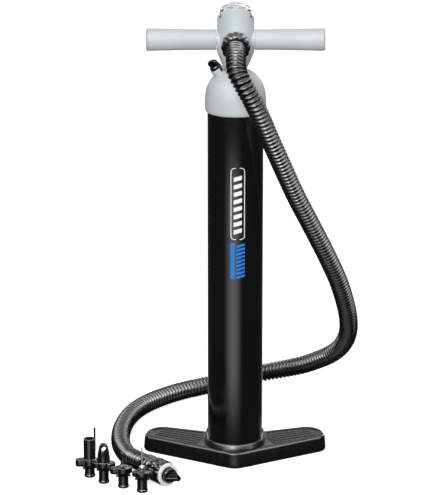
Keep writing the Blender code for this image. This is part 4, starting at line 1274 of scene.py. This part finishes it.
@dataclass
class Gauge:
    """The pressure gauge in the hub's cup."""

    floor: float = 0.6063
    case_top: float = 0.6225
    case_radius: float = 0.0205
    bezel_radius: float = 0.0211
    bezel_top: float = 0.6325
    dial_z: float = 0.6240
    dial_radius: float = 0.0182
    lens_rim: float = 0.0184
    lens_rise: float = 0.0085
    needle_z: float = 0.6252
    ticks: int = 28
    sweep: float = 270.0

    def build(self) -> None:
        """Builds the case, bezel, dial, pointer and lens."""
        case = eased(
            (
                (0.0186, self.case_top), (self.case_radius, self.case_top), (self.case_radius, self.floor),
                (0.0, self.floor)
            ),
            0.0008
        )
        body = turned("gauge_cup", [(0.0, 0.6095), (0.0186, 0.6095), *case])
        fitted(body, Body.HANDLE, FITTING, ("gauge_case",))
        rim = eased(
            (
                (0.0186, self.bezel_top - 0.0012), (0.0190, self.bezel_top), (0.0198, self.bezel_top),
                (self.bezel_radius, self.bezel_top - 0.0022), (self.bezel_radius, self.bezel_top - 0.0046),
                (self.bezel_radius - 0.0005, self.bezel_top - 0.0052),
                (self.bezel_radius, self.bezel_top - 0.0058), (self.bezel_radius, self.case_top + 0.0003),
                (0.0186, self.case_top + 0.0003)
            ),
            0.0006, 4, closed=True
        )
        fitted(turned("gauge_rim", rim, ring=True), Body.HANDLE, CHROME, ("gauge_bezel",))
        plate = sleeve(
            "dial_plate", self.dial_radius, 0.0012, self.dial_z - 0.0010, self.dial_z, soft=0.0002
        )
        fitted(plate, Body.HANDLE, DIAL, ("gauge_dial",))
        self.build_marks()
        self.build_pointer()
        reach, rise = self.lens_rim, self.lens_rise
        radius = (reach * reach + rise * rise) / (2 * rise)
        centre = self.bezel_top - 0.0015 + rise - radius
        spread = math.degrees(math.asin(reach / radius))
        dome = arc((0.0, centre), radius, 90.0, 90.0 - spread, 20)
        dome[0] = (0.0, centre + radius)
        thin = radius - 0.0012
        back = math.degrees(math.asin((reach - 0.0012) / thin))
        hollow = arc((0.0, centre), thin, 90.0 - back, 90.0, 14)
        hollow[-1] = (0.0, centre + thin)
        skirt = ((reach, 0.6275), (reach - 0.0012, 0.6275))
        lens = turned("gauge_window", [*dome, *skirt, *hollow])
        fitted(lens, Body.HANDLE, PAINTED_SHEEN_LENS, ("gauge_lens",))

    def build_marks(self) -> None:
        """Grows the dial's scale: fine ticks, longer main ticks and a band inside them."""
        rings = ring_tree()
        step = math.radians(self.sweep) / (self.ticks - 1)
        first = math.radians(90 - 135)
        for name, count, size, inner in (
            ("dial_fine_ticks", self.ticks, (0.0016, 0.00022, 0.00016), 0.0150),
            ("dial_main_ticks", 10, (0.0030, 0.00045, 0.00020), 0.0145)
        ):
            tick = box("tick_shape", size, aim((inner, 0.0, self.dial_z + 0.0001)))
            gap = step * (self.ticks - 1) / (count - 1)
            marks = rings.grow(
                name, tick, MARKS.material(), None, Count=count, First_Angle=first, Angle_Step=gap
            )
            fitted(marks, Body.HANDLE, MARKS)
        for name, radius, finish in (
            ("dial_outer_band", 0.0166, MARKS), ("dial_inner_band", 0.0118, BLUE_INK)
        ):
            band = sleeve(name, radius, radius - 0.0005, self.dial_z, self.dial_z + 0.00015, soft=0.00003)
            fitted(band, Body.HANDLE, finish)

    def build_pointer(self) -> None:
        """Builds the pointer on its boss."""
        place = aim((0.0, 0.0, self.needle_z))
        side = eased(
            (
                (0.0, 0.0012), (0.0016, 0.0012), (0.0022, 0.0006), (0.0022, -0.0006), (0.0007, -0.0006),
                (0.0007, -0.0040), (0.0, -0.0040)
            ),
            0.0003
        )
        pointer = turned("gauge_pointer", side, place, 40)
        outline = ((-0.0010, -0.0046), (0.0010, -0.0046), (0.0002, 0.0146), (-0.0002, 0.0146))
        turn = place @ spun(135)
        worked(pointer, Operation.JOIN, lofted("blade", [(0.0, outline), (0.0005, outline)], turn))
        fitted(pointer, Body.NEEDLE, POINTER, ("gauge_needle",))


@dataclass
class Outlet:
    """The port on the hub: spigot, washer, hose cuff and the lobed union nut."""

    place: Matrix
    nut_radius: float = 0.0184
    lobe: float = 0.0009
    lobes: int = 12

    def lobed(self, radius: float, depth: float) -> list[Pair]:
        """Returns the nut's scalloped outline: broad lobes with tight valleys."""
        points = []
        for i in range(self.lobes * 16):
            angle = TAU * i / (self.lobes * 16)
            wave = abs(math.cos(self.lobes * angle / 2)) ** 0.7
            size = radius + depth * (2 * wave - 1)
            points.append((size * math.cos(angle), size * math.sin(angle)))
        return points

    def build(self) -> None:
        """Builds the port's pieces."""
        spigot = eased(
            (
                (0.0118, 0.0110), (0.0118, 0.0038), (0.0145, 0.0038), (0.0145, 0.0023), (0.0118, 0.0023),
                (0.0118, -0.0095), (0.0080, -0.0095), (0.0080, 0.0110)
            ),
            0.0004, closed=True
        )
        fitted(
            turned("port_spigot", spigot, self.place, 72, ring=True), Body.HANDLE, FITTING,
            ("outlet_spigot",)
        )
        rings = []
        for z, shrink, depth in (
            (0.0042, 0.0010, 0.6), (0.0048, 0.0003, 0.9), (0.0056, 0.0, 1.0), (0.0140, 0.0, 1.0),
            (0.0158, 0.0003, 0.9), (0.0172, 0.0012, 0.7), (0.0182, 0.0026, 0.3), (0.0185, 0.0036, 0.1)
        ):
            rings.append((z, self.lobed(self.nut_radius - shrink, self.lobe * depth)))
        nut = lofted("union_nut_ring", rings, self.place)
        worked(
            nut, Operation.CUT, shaft("nut_inner", 0.0149, 0.0, 0.0160, self.place, 72),
            shaft("nut_mouth", 0.0134, 0.0, 0.03, self.place, 72)
        )
        softened(nut, 0.0003, 2, 50)
        fitted(nut, Body.NUT, FITTING, ("hose_nut",))
        cuff = eased(
            (
                (0.0146, 0.0156), (0.0146, 0.0128), (0.0095, 0.0128), (0.0095, 0.0205), (0.0122, 0.0205),
                (0.0130, 0.0196), (0.0130, 0.0156)
            ),
            0.0006, closed=True
        )
        cuff.reverse()
        ring = turned("hose_collar", cuff, self.place, 72, ring=True)
        fitted(ring, Body.HANDLE, FITTING, ("hose_cuff",))


@dataclass
class Hose:
    """The corrugated delivery hose, from the hub's cuff to the cuff on its far end."""

    port_point: Vector
    port_axis: Vector
    end_point: Vector
    end_axis: Vector
    radius: float = 0.01325
    rib_depth: float = 0.0026
    rib_pitch: float = 0.0061
    lead: float = 0.008
    route: tuple[Triple, ...] = (
        (0.0, -0.0600, 0.5806), (0.0, -0.0755, 0.5735), (0.0015, -0.0890, 0.5635),
        (0.0091, -0.0965, 0.5500), (0.0209, -0.0950, 0.5288), (0.0328, -0.0870, 0.5028),
        (0.0456, -0.0730, 0.4696), (0.0579, -0.0570, 0.4383), (0.0704, -0.0390, 0.4061),
        (0.0838, -0.0190, 0.3731), (0.0989, 0.0030, 0.3390), (0.1141, 0.0260, 0.3042),
        (0.1290, 0.0510, 0.2684), (0.1429, 0.0780, 0.2315), (0.1535, 0.1060, 0.1938),
        (0.1603, 0.1340, 0.1585), (0.1613, 0.1630, 0.1268), (0.1545, 0.1910, 0.0997),
        (0.1413, 0.2160, 0.0786), (0.1221, 0.2400, 0.0610), (0.0996, 0.2610, 0.0460),
        (0.0730, 0.2760, 0.0350), (0.0400, 0.2850, 0.0255), (0.0020, 0.2820, 0.0175),
        (-0.0438, 0.2610, 0.0138), (-0.0786, 0.2364, 0.0138), (-0.1101, 0.2042, 0.0138),
        (-0.1338, 0.1685, 0.0138), (-0.1497, 0.1258, 0.0138), (-0.1583, 0.0714, 0.0138),
        (-0.1576, 0.0144, 0.0138), (-0.1473, -0.0294, 0.0140), (-0.1370, -0.0500, 0.0155)
    )

    def centreline(self, inside: float = 0.0) -> list[Vector]:
        """Returns the hose's line.

        Args:
            inside: how far it runs on into the cuff at each end.

        Returns:
            Points a few millimetres apart along one smooth curve.
        """
        start = self.port_point + self.port_axis * 0.0208
        finish = self.end_point - self.end_axis * 0.0463
        lead = self.port_point + self.port_axis * 0.0040
        trail = self.end_point - self.end_axis * 0.0300
        knots = [
            lead, start, *(Vector(p) for p in self.route), finish - self.end_axis * 0.0120, finish, trail
        ]
        fine = [start - self.port_axis * inside] if inside else []
        for before, first, second, after in zip(knots, knots[1:], knots[2:], knots[3:]):
            for step in range(12):
                t = step / 12
                bend = (2 * before - 5 * first + 4 * second - after) * t * t
                twist = (3 * first - before - 3 * second + after) * t * t * t
                fine.append((2 * first + (second - before) * t + bend + twist) / 2)
        fine.append(finish)
        if inside:
            fine.append(finish + self.end_axis * inside)
        return fine

    def build(self, pieces: Sequence[bpy.types.Object | str]) -> None:
        """Args:
            pieces: the fittings on its far end; not used.
        """
        line = self.centreline(0.0030)
        curve = bpy.data.curves.new("hose_path", "CURVE")
        curve.dimensions = "3D"
        curve.twist_mode = "MINIMUM"
        spline = curve.splines.new("POLY")
        spline.points.add(len(line) - 1)
        for point, place in zip(spline.points, line):
            point.co = (*place, 1.0)
        path = bpy.data.objects.new("hose_path", curve)
        bpy.context.scene.collection.objects.link(path)
        hose = corrugated_tree().grow(
            "delivery_hose", path, HOSE.material(), Radius=self.radius, Rib_Depth=self.rib_depth,
            Rib_Pitch=self.rib_pitch, Ring_Spacing=self.rib_pitch / 10, Sides=32
        )
        hose.data.materials.clear()
        hose.data.materials.append(HOSE.material())
        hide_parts("hose")
        marks = self.centreline()
        length = sum((b - a).length for a, b in zip(marks, marks[1:]))
        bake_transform(hose)
        tuple(marks[0])
        [tuple(p) for p in marks]
        LOG.info("hose: %.3f m long, %d faces", length, len(hose.data.polygons))


@dataclass
class HoseEnd:
    """The fittings on the hose's far end: cuff, lock nut, gasket and the adapter in it."""

    place: Matrix
    flutes: int = 16

    def fluted(self, radius: float, depth: float) -> list[Pair]:
        """Returns the lock nut's outline."""
        points = []
        for i in range(self.flutes * 8):
            angle = TAU * i / (self.flutes * 8)
            size = radius + depth * math.cos(self.flutes * angle)
            points.append((size * math.cos(angle), size * math.sin(angle)))
        return points

    def build(self) -> list[bpy.types.Object]:
        """Builds the fittings, and returns them."""
        cuff = eased(
            (
                (0.0098, -0.0120), (0.0098, -0.0285), (0.0128, -0.0285), (0.0148, -0.0303),
                (0.0148, -0.0330), (0.0141, -0.0336), (0.0141, -0.0356), (0.0150, -0.0362),
                (0.0150, -0.0440), (0.0140, -0.0460), (0.0075, -0.0460), (0.0075, -0.0120)
            ),
            0.0006, closed=True
        )
        made = [
            fitted(
                turned("hose_end_collar", cuff, self.place, 72, ring=True), Body.PUMP, FITTING,
                ("end_cuff",)
            )
        ]
        rings = []
        for z, shrink, depth in (
            (-0.0280, 0.0022, 0.2), (-0.0272, 0.0014, 0.4), (-0.0240, 0.0003, 0.9), (-0.0225, 0.0, 1.0),
            (-0.0150, 0.0, 1.0), (-0.0142, 0.0007, 0.3), (-0.0128, 0.0007, 0.3), (-0.0120, 0.0, 1.0),
            (-0.0018, 0.0, 1.0), (-0.0006, 0.0006, 0.7), (0.0002, 0.0016, 0.2)
        ):
            rings.append((z, self.fluted(0.0164 - shrink, 0.00045 * depth)))
        nut = lofted("lock_nut_ring", rings, self.place)
        worked(
            nut, Operation.CUT, shaft("lock_bore", 0.0101, -0.05, 0.05, self.place, 64),
            shaft("lock_face", 0.0128, -0.0030, 0.01, self.place, 64)
        )
        made.append(
            fitted(softened(nut, 0.0003, 2, 50), Body.LOCK, FITTING, ("lock_nut",))
        )
        lip = eased(
            ((0.0158, 0.0038), (0.0158, 0.0005), (0.0105, 0.0005), (0.0105, 0.0038)), 0.0014, 6, closed=True
        )
        gasket = turned("pale_gasket", lip, self.place, ring=True)
        made.append(fitted(gasket, Body.PUMP, PALE_SEAL, ("valve_gasket",)))
        made.append(self.build_adapter())
        return made

    def build_adapter(self) -> bpy.types.Object:
        """Builds the adapter that sits in the hose's end: a stub, a slanted nose and a finger."""
        side = eased(
            (
                (0.0, 0.0100), (0.0094, 0.0100), (0.0102, 0.0090), (0.0102, 0.0041), (0.0098, 0.0035),
                (0.0098, -0.0110), (0.0, -0.0110)
            ),
            0.0007
        )
        adapter = turned("adapter_in_place", side, self.place, 64)
        turn = self.place @ spun(70)
        base = eased(
            ((-0.0090, -0.0032), (0.0090, -0.0032), (0.0090, 0.0032), (-0.0090, 0.0032)), 0.0016, 5,
            closed=True
        )
        tip = eased(
            ((-0.0012, -0.0026), (0.0044, -0.0026), (0.0044, 0.0026), (-0.0012, 0.0026)), 0.0012, 5,
            closed=True
        )
        nose = lofted("nose_helper", [(0.0090, base), (0.0270, tip)], turn)
        spot = self.place @ Matrix.Translation((0.0070, 0.0, 0.0))
        finger = turned(
            "finger_helper",
            eased(((0.0, 0.0210), (0.0015, 0.0210), (0.0015, 0.0090), (0.0, 0.0090)), 0.0006), spot, 24
        )
        worked(adapter, Operation.JOIN, nose, finger)
        softened(adapter, 0.0004, 2, 40)
        return fitted(adapter, Body.FITTED, FITTING, ("fitted_adapter",))


@dataclass
class LooseAdapter:
    """One valve adapter: a beaded insert with bayonet lugs, a winged plate and a turned top."""

    kind: str
    body: Body
    spot: Pair
    turn: float
    plate: Pair
    top: Path
    wings: Pair
    bores: tuple[tuple[float, float, float, int], ...]
    shift: float = 0.0
    insert_radius: float = 0.0068
    bead_radius: float = 0.0075
    waist_radius: float = 0.0100
    lug_size: Triple = (0.0190, 0.0036, 0.0024)
    joined: list[bpy.types.Object] = field(default_factory=list)
    cut: list[bpy.types.Object] = field(default_factory=list)

    def at(self, x: float = 0.0, y: float = 0.0, z: float = 0.0) -> Matrix:
        """Returns the place of a point of the adapter, where it stands on the floor."""
        return Matrix.Translation((*self.spot, 0.0)) @ spun(self.turn) @ Matrix.Translation((x, y, z))

    def build(self) -> None:
        """Builds the adapter."""
        name = f"{self.kind}_valve_adapter"
        low, high = self.plate
        insert, bead, waist = self.insert_radius, self.bead_radius, self.waist_radius
        neck = ((waist, high - 0.0012), (waist, low + 0.0012), (insert + 0.0010, low - 0.0020))
        beaded = (
            (insert, low - 0.0030), (insert, 0.0042), (bead, 0.0032), (bead, 0.0010), (insert, 0.0001)
        )
        side = ((0.0, self.top[0][1]), *self.top, *neck, *beaded, (0.0, 0.0001))
        body = turned(name, eased(side, 0.0006), self.at(), 64)
        wings = slab(name + "_wings", stadium(*self.wings, 14), low, high, 0.0010, self.at(self.shift))
        lug = box(name + "_lug", self.lug_size, self.at(z=low - 0.0040))
        drills = []
        for number, (radius, start, end, sides) in enumerate(((0.0042, -0.01, low, 40), *self.bores)):
            drills.append(shaft(f"{name}_bore_{number}", radius, start, end, self.at(), sides))
        worked(body, Operation.JOIN, wings, lug, *self.joined)
        worked(body, Operation.CUT, *drills, *self.cut)
        softened(body, 0.0003, 2, 40)
        fitted(body, self.body, FITTING, (f"{self.kind}_adapter",))


@dataclass
class AdapterSet:
    """The four loose adapters on the floor."""

    def build(self) -> None:
        """Builds the adapters and the ball needle."""
        top = ((0.0074, 0.0545), (0.0081, 0.0539), (0.0081, 0.0262), (0.0100, 0.0254))
        tube = LooseAdapter(
            "tube", Body.TUBE, spot=(-0.1972, -0.0755), turn=12.0, plate=(0.0165, 0.0260), top=top,
            wings=(0.0300, 0.0125), bores=((0.0062, 0.0300, 0.07, 48), (0.0030, 0.0100, 0.05, 32)),
            shift=-0.0045
        )
        tube.joined.append(box("tube_spike", (0.0024, 0.0026, 0.0330), tube.at(0.0072, 0.0, 0.0530)))
        top = (
            (0.0030, 0.0555), (0.0046, 0.0545), (0.0062, 0.0500), (0.0078, 0.0420), (0.0086, 0.0340),
            (0.0088, 0.0300), (0.0100, 0.0290)
        )
        cone = LooseAdapter(
            "cone", Body.CONE, spot=(-0.1773, -0.0985), turn=-8.0, plate=(0.0220, 0.0295), top=top,
            wings=(0.0320, 0.0150), bores=((0.0024, 0.0100, 0.07, 32),)
        )
        slant = cone.at() @ aim((0.0, 0.0010, 0.0470), (0.0, -0.80, 0.60))
        cone.cut.append(shaft("cone_window", 0.0040, -0.02, 0.02, slant, 40))
        top = ((0.0024, 0.0495), (0.0033, 0.0487), (0.0033, 0.0330), (0.0060, 0.0300), (0.0100, 0.0285))
        stem = LooseAdapter(
            "stem", Body.STEM, spot=(-0.1504, -0.1160), turn=10.0, plate=(0.0205, 0.0285), top=top,
            wings=(0.0300, 0.0120), bores=((0.0017, 0.0100, 0.07, 24),), shift=-0.0030
        )
        stem.cut.append(box("stem_notch", (0.0018, 0.02, 0.0040), stem.at(z=0.0490)))
        top = ((0.0050, 0.0325), (0.0056, 0.0318), (0.0056, 0.0300), (0.0100, 0.0285))
        socket = LooseAdapter(
            "needle", Body.BALL, spot=(-0.1247, -0.1330), turn=-6.0, plate=(0.0220, 0.0285), top=top,
            wings=(0.0270, 0.0120), bores=((0.0022, 0.0240, 0.05, 32), (0.0012, 0.0100, 0.05, 24))
        )
        for adapter in (tube, cone, stem, socket):
            adapter.build()
        side = eased(
            (
                (0.0, 0.0635), (0.0005, 0.0635), (0.0009, 0.0615), (0.0010, 0.0372), (0.0026, 0.0366),
                (0.0038, 0.0358), (0.0038, 0.0330), (0.0019, 0.0329), (0.0019, 0.0250), (0.0, 0.0250)
            ),
            0.0004
        )
        needle = turned("inflating_needle", side, socket.at(), 40)
        fitted(needle, Body.BALL, NEEDLE_STEEL, ("ball_needle",))


@dataclass
class InnerWorks:
    """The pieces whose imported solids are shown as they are, each with its finish."""

    finishes: tuple[tuple[Finish, tuple[str, ...]], ...] = (
        (BLACK, ("base_cover",)),
        (INNER, ("foot_plug", "flap_rivet", "cap_valve_plate", "guide_bush", "piston")),
        (SEAL, ("foot_plug_oring", "intake_flap", "cap_oring", "upper_intake_flap", "rod_seal")),
        (SEAL, ("piston_seal", "piston_flap", "piston_bumper", "spigot_washer")),
        (STEEL, ("piston_rod", "piston_nut", "cross_bar", "gauge_stem", "bourdon_tube")),
        (STEEL, tuple(f"cover_screw_{i}" for i in (1, 2, 3, 4))), (STEEL, ("hub_screw_1", "hub_screw_2"))
    )

    def dress(self, nodes: dict[str, bpy.types.Object]) -> None:
        """Gives each shown solid its finish.

        Args:
            nodes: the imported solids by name.
        """
        for finish, names in self.finishes:
            for name in names:
                for slot in nodes[name].material_slots:
                    slot.material = finish.material()
                LOG.info("%s: dressed in %s", name, finish.name)


@dataclass
class Studio:
    """The pale floor, the soft lights and the camera."""

    target: Triple = (-0.0240, 0.0, 0.3012)
    distance: float = 4.0
    elevation: float = 16.3
    lens: float = 215.05
    fill_level: float = 0.30
    floor_glow: float = 0.75
    band_level: float = 2.0
    band_reach: float = 0.73
    rear_level: float = 0.8
    dark_level: float = 0.04
    sky_level: float = 0.07
    band_bearing: float = -0.15
    roof_level: float = 10.0
    roof_reach: Pair = (1.3, 2.0)
    strips: tuple[Triple, ...] = ((-0.55, 0.16, 5.0), (2.55, 0.25, 5.0), (-2.5, 0.2, 3.0))

    def build_camera(self) -> None:
        """Sets up the camera in front of the pump, looking a little down."""
        data = bpy.data.cameras.new("studio_camera")
        data.lens = self.lens
        data.sensor_width = 36.0
        data.clip_start = 0.1
        data.clip_end = 100.0
        camera = bpy.data.objects.new("studio_camera", data)
        tilt = math.radians(self.elevation)
        back = Vector((0.0, -math.cos(tilt), math.sin(tilt))) * self.distance
        camera.location = Vector(self.target) + back
        camera.rotation_euler = (math.pi / 2 - tilt, 0.0, 0.0)
        bpy.context.scene.collection.objects.link(camera)
        bpy.context.scene.camera = camera

    def build_floor(self) -> None:
        """Lays the floor."""
        work = bmesh.new()
        bmesh.ops.create_grid(
            work, x_segments=1, y_segments=1, size=6.0, matrix=Matrix.Translation((0.0, 0.0, -0.0004))
        )
        floor = new_object("studio_floor", work)
        shader = Shader("pale_floor")
        shader.set(Base_Color=(0.9, 0.9, 0.9, 1.0), Roughness=0.9, Specular_IOR_Level=0.1)
        shader.set(Emission_Color=(1.0, 1.0, 1.0, 1.0), Emission_Strength=self.floor_glow)
        floor.data.materials.append(shader.material)
        floor.visible_glossy = False
        floor.visible_diffuse = False

    def add_light(
        self, name: str, place: Sequence[float], size: Pair, power: float, at: Sequence[float]
    ) -> None:
        """Hangs a soft light.

        Args:
            name: its name.
            place: where it hangs.
            size: its width and height.
            power: its power in watts.
            at: the point that it faces.
        """
        data = bpy.data.lights.new(name, "AREA")
        data.shape = "RECTANGLE"
        data.size, data.size_y = size
        data.energy = power
        light = bpy.data.objects.new(name, data)
        light.location = place
        light.rotation_euler = (Vector(at) - Vector(place)).to_track_quat("-Z", "Y").to_euler()
        bpy.context.scene.collection.objects.link(light)

    def build_world(self) -> None:
        """Surrounds the pump with white to look at and an even dim fill.

        What it mirrors is painted by direction: a band in front, a roof high above and a few upright strips.
        """
        world = bpy.data.worlds.new("studio_world")
        world.use_nodes = True
        sky = Wiring(world.node_tree)
        split = sky.add("ShaderNodeSeparateXYZ")
        sky.join(sky.add("ShaderNodeTexCoord").outputs["Generated"], split.inputs["Vector"])
        height = split.outputs["Z"]
        bearing = sky.math("ARCTAN2", split.outputs["X"], sky.math("MULTIPLY", split.outputs["Y"], -1.0))
        behind = sky.math("ABSOLUTE", bearing)

        def ramp(value: bpy.types.NodeSocket, span: Pair, levels: Pair) -> bpy.types.NodeSocket:
            """Returns a smooth step between two levels over a span."""
            return sky.ramp(value, span, levels, "SMOOTHSTEP")

        def off(middle: float) -> bpy.types.NodeSocket:
            """Returns how far a bearing lies from a middle one."""
            return sky.math("ABSOLUTE", sky.math("SUBTRACT", bearing, middle))

        def between(low: Pair, high: Pair) -> bpy.types.NodeSocket:
            """Returns 1 between two heights and 0 outside them, with soft edges."""
            return sky.math("MULTIPLY", ramp(height, low, (0.0, 1.0)), ramp(height, high, (1.0, 0.0)))

        across_band = ramp(off(self.band_bearing), (0.0, self.band_reach), (self.band_level, 0.0))
        across_roof = ramp(behind, self.roof_reach, (self.roof_level, 0.0))
        above = ramp(height, (0.02, 0.12), (0.0, 1.0))
        parts = [
            sky.math("MULTIPLY", across_band, between((-0.50, -0.40), (-0.17, -0.08))),
            sky.math("MULTIPLY", across_roof, between((0.46, 0.54), (0.78, 0.86))),
            ramp(behind, (2.6, math.pi), (0.0, self.rear_level)),
            ramp(height, (0.08, 0.35), (self.dark_level, self.sky_level))
        ]
        for middle, half, level in self.strips:
            across_strip = ramp(off(middle), (half * 0.6, half), (level, 0.0))
            parts.append(sky.math("MULTIPLY", across_strip, above))
        mirrored = parts[0]
        for part in parts[1:]:
            mirrored = sky.math("ADD", mirrored, part)

        ray = sky.add("ShaderNodeLightPath")
        mix = sky.add("ShaderNodeMix")
        sky.join(ray.outputs["Is Glossy Ray"], mix.inputs["Factor"])
        sky.join(self.fill_level, mix.inputs["A"])
        sky.join(mirrored, mix.inputs["B"])
        seen = sky.math("MAXIMUM", mix.outputs["Result"], ray.outputs["Is Camera Ray"])
        background = world.node_tree.nodes["Background"]
        sky.join((1.0, 1.0, 1.0, 1.0), background.inputs["Color"])
        sky.join(seen, background.inputs["Strength"])
        bpy.context.scene.world = world
        bpy.context.scene.view_settings.view_transform = "Standard"

    def build_lights(self) -> None:
        """Hangs the key light, the fill and the overhead light."""
        at = (0.0, 0.0, 0.35)
        self.add_light("key_light", (-0.45, -2.6, 1.6), (0.9, 0.9), 72.0, at)
        self.add_light("side_light", (2.2, -1.2, 1.0), (0.5, 1.2), 12.0, at)
        self.add_light("overhead_light", (0.0, 0.1, 2.5), (0.9, 0.9), 7.0, at)


def main() -> None:
    """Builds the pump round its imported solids, and the studio round the pump."""
    logging.basicConfig(level=logging.INFO, format="%(name)s: %(message)s")
    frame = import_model()
    for name in STARTUP_OBJECTS:
        if name in bpy.data.objects:
            bpy.data.objects.remove(bpy.data.objects[name])
    studio = Studio()
    studio.build_camera()
    handle = Handle()
    port = handle.port_place()
    end_point, end_axis = Vector((-0.0924, -0.1133, 0.0175)), Vector((0.6, -0.8, 0.0))
    fittings = HoseEnd(aim(end_point, end_axis)).build()
    port_axis = (port.to_3x3() @ Vector((0.0, 0.0, 1.0))).normalized()
    Hose(Vector(handle.port), port_axis, end_point, end_axis).build(fittings)
    foot = Footplate()
    foot.build_foot()
    foot.build_treads()
    barrel = Barrel()
    barrel.build_tube()
    barrel.build_print()
    cap = Cap()
    cap.build_shell()
    cap.build_stopper()
    handle.build_hub()
    handle.build_grips()
    Gauge().build()
    Outlet(port).build()
    AdapterSet().build()
    InnerWorks().dress(frame["nodes"])
    studio.build_floor()
    studio.build_world()
    studio.build_lights()


if __name__ == "__main__":
    main()
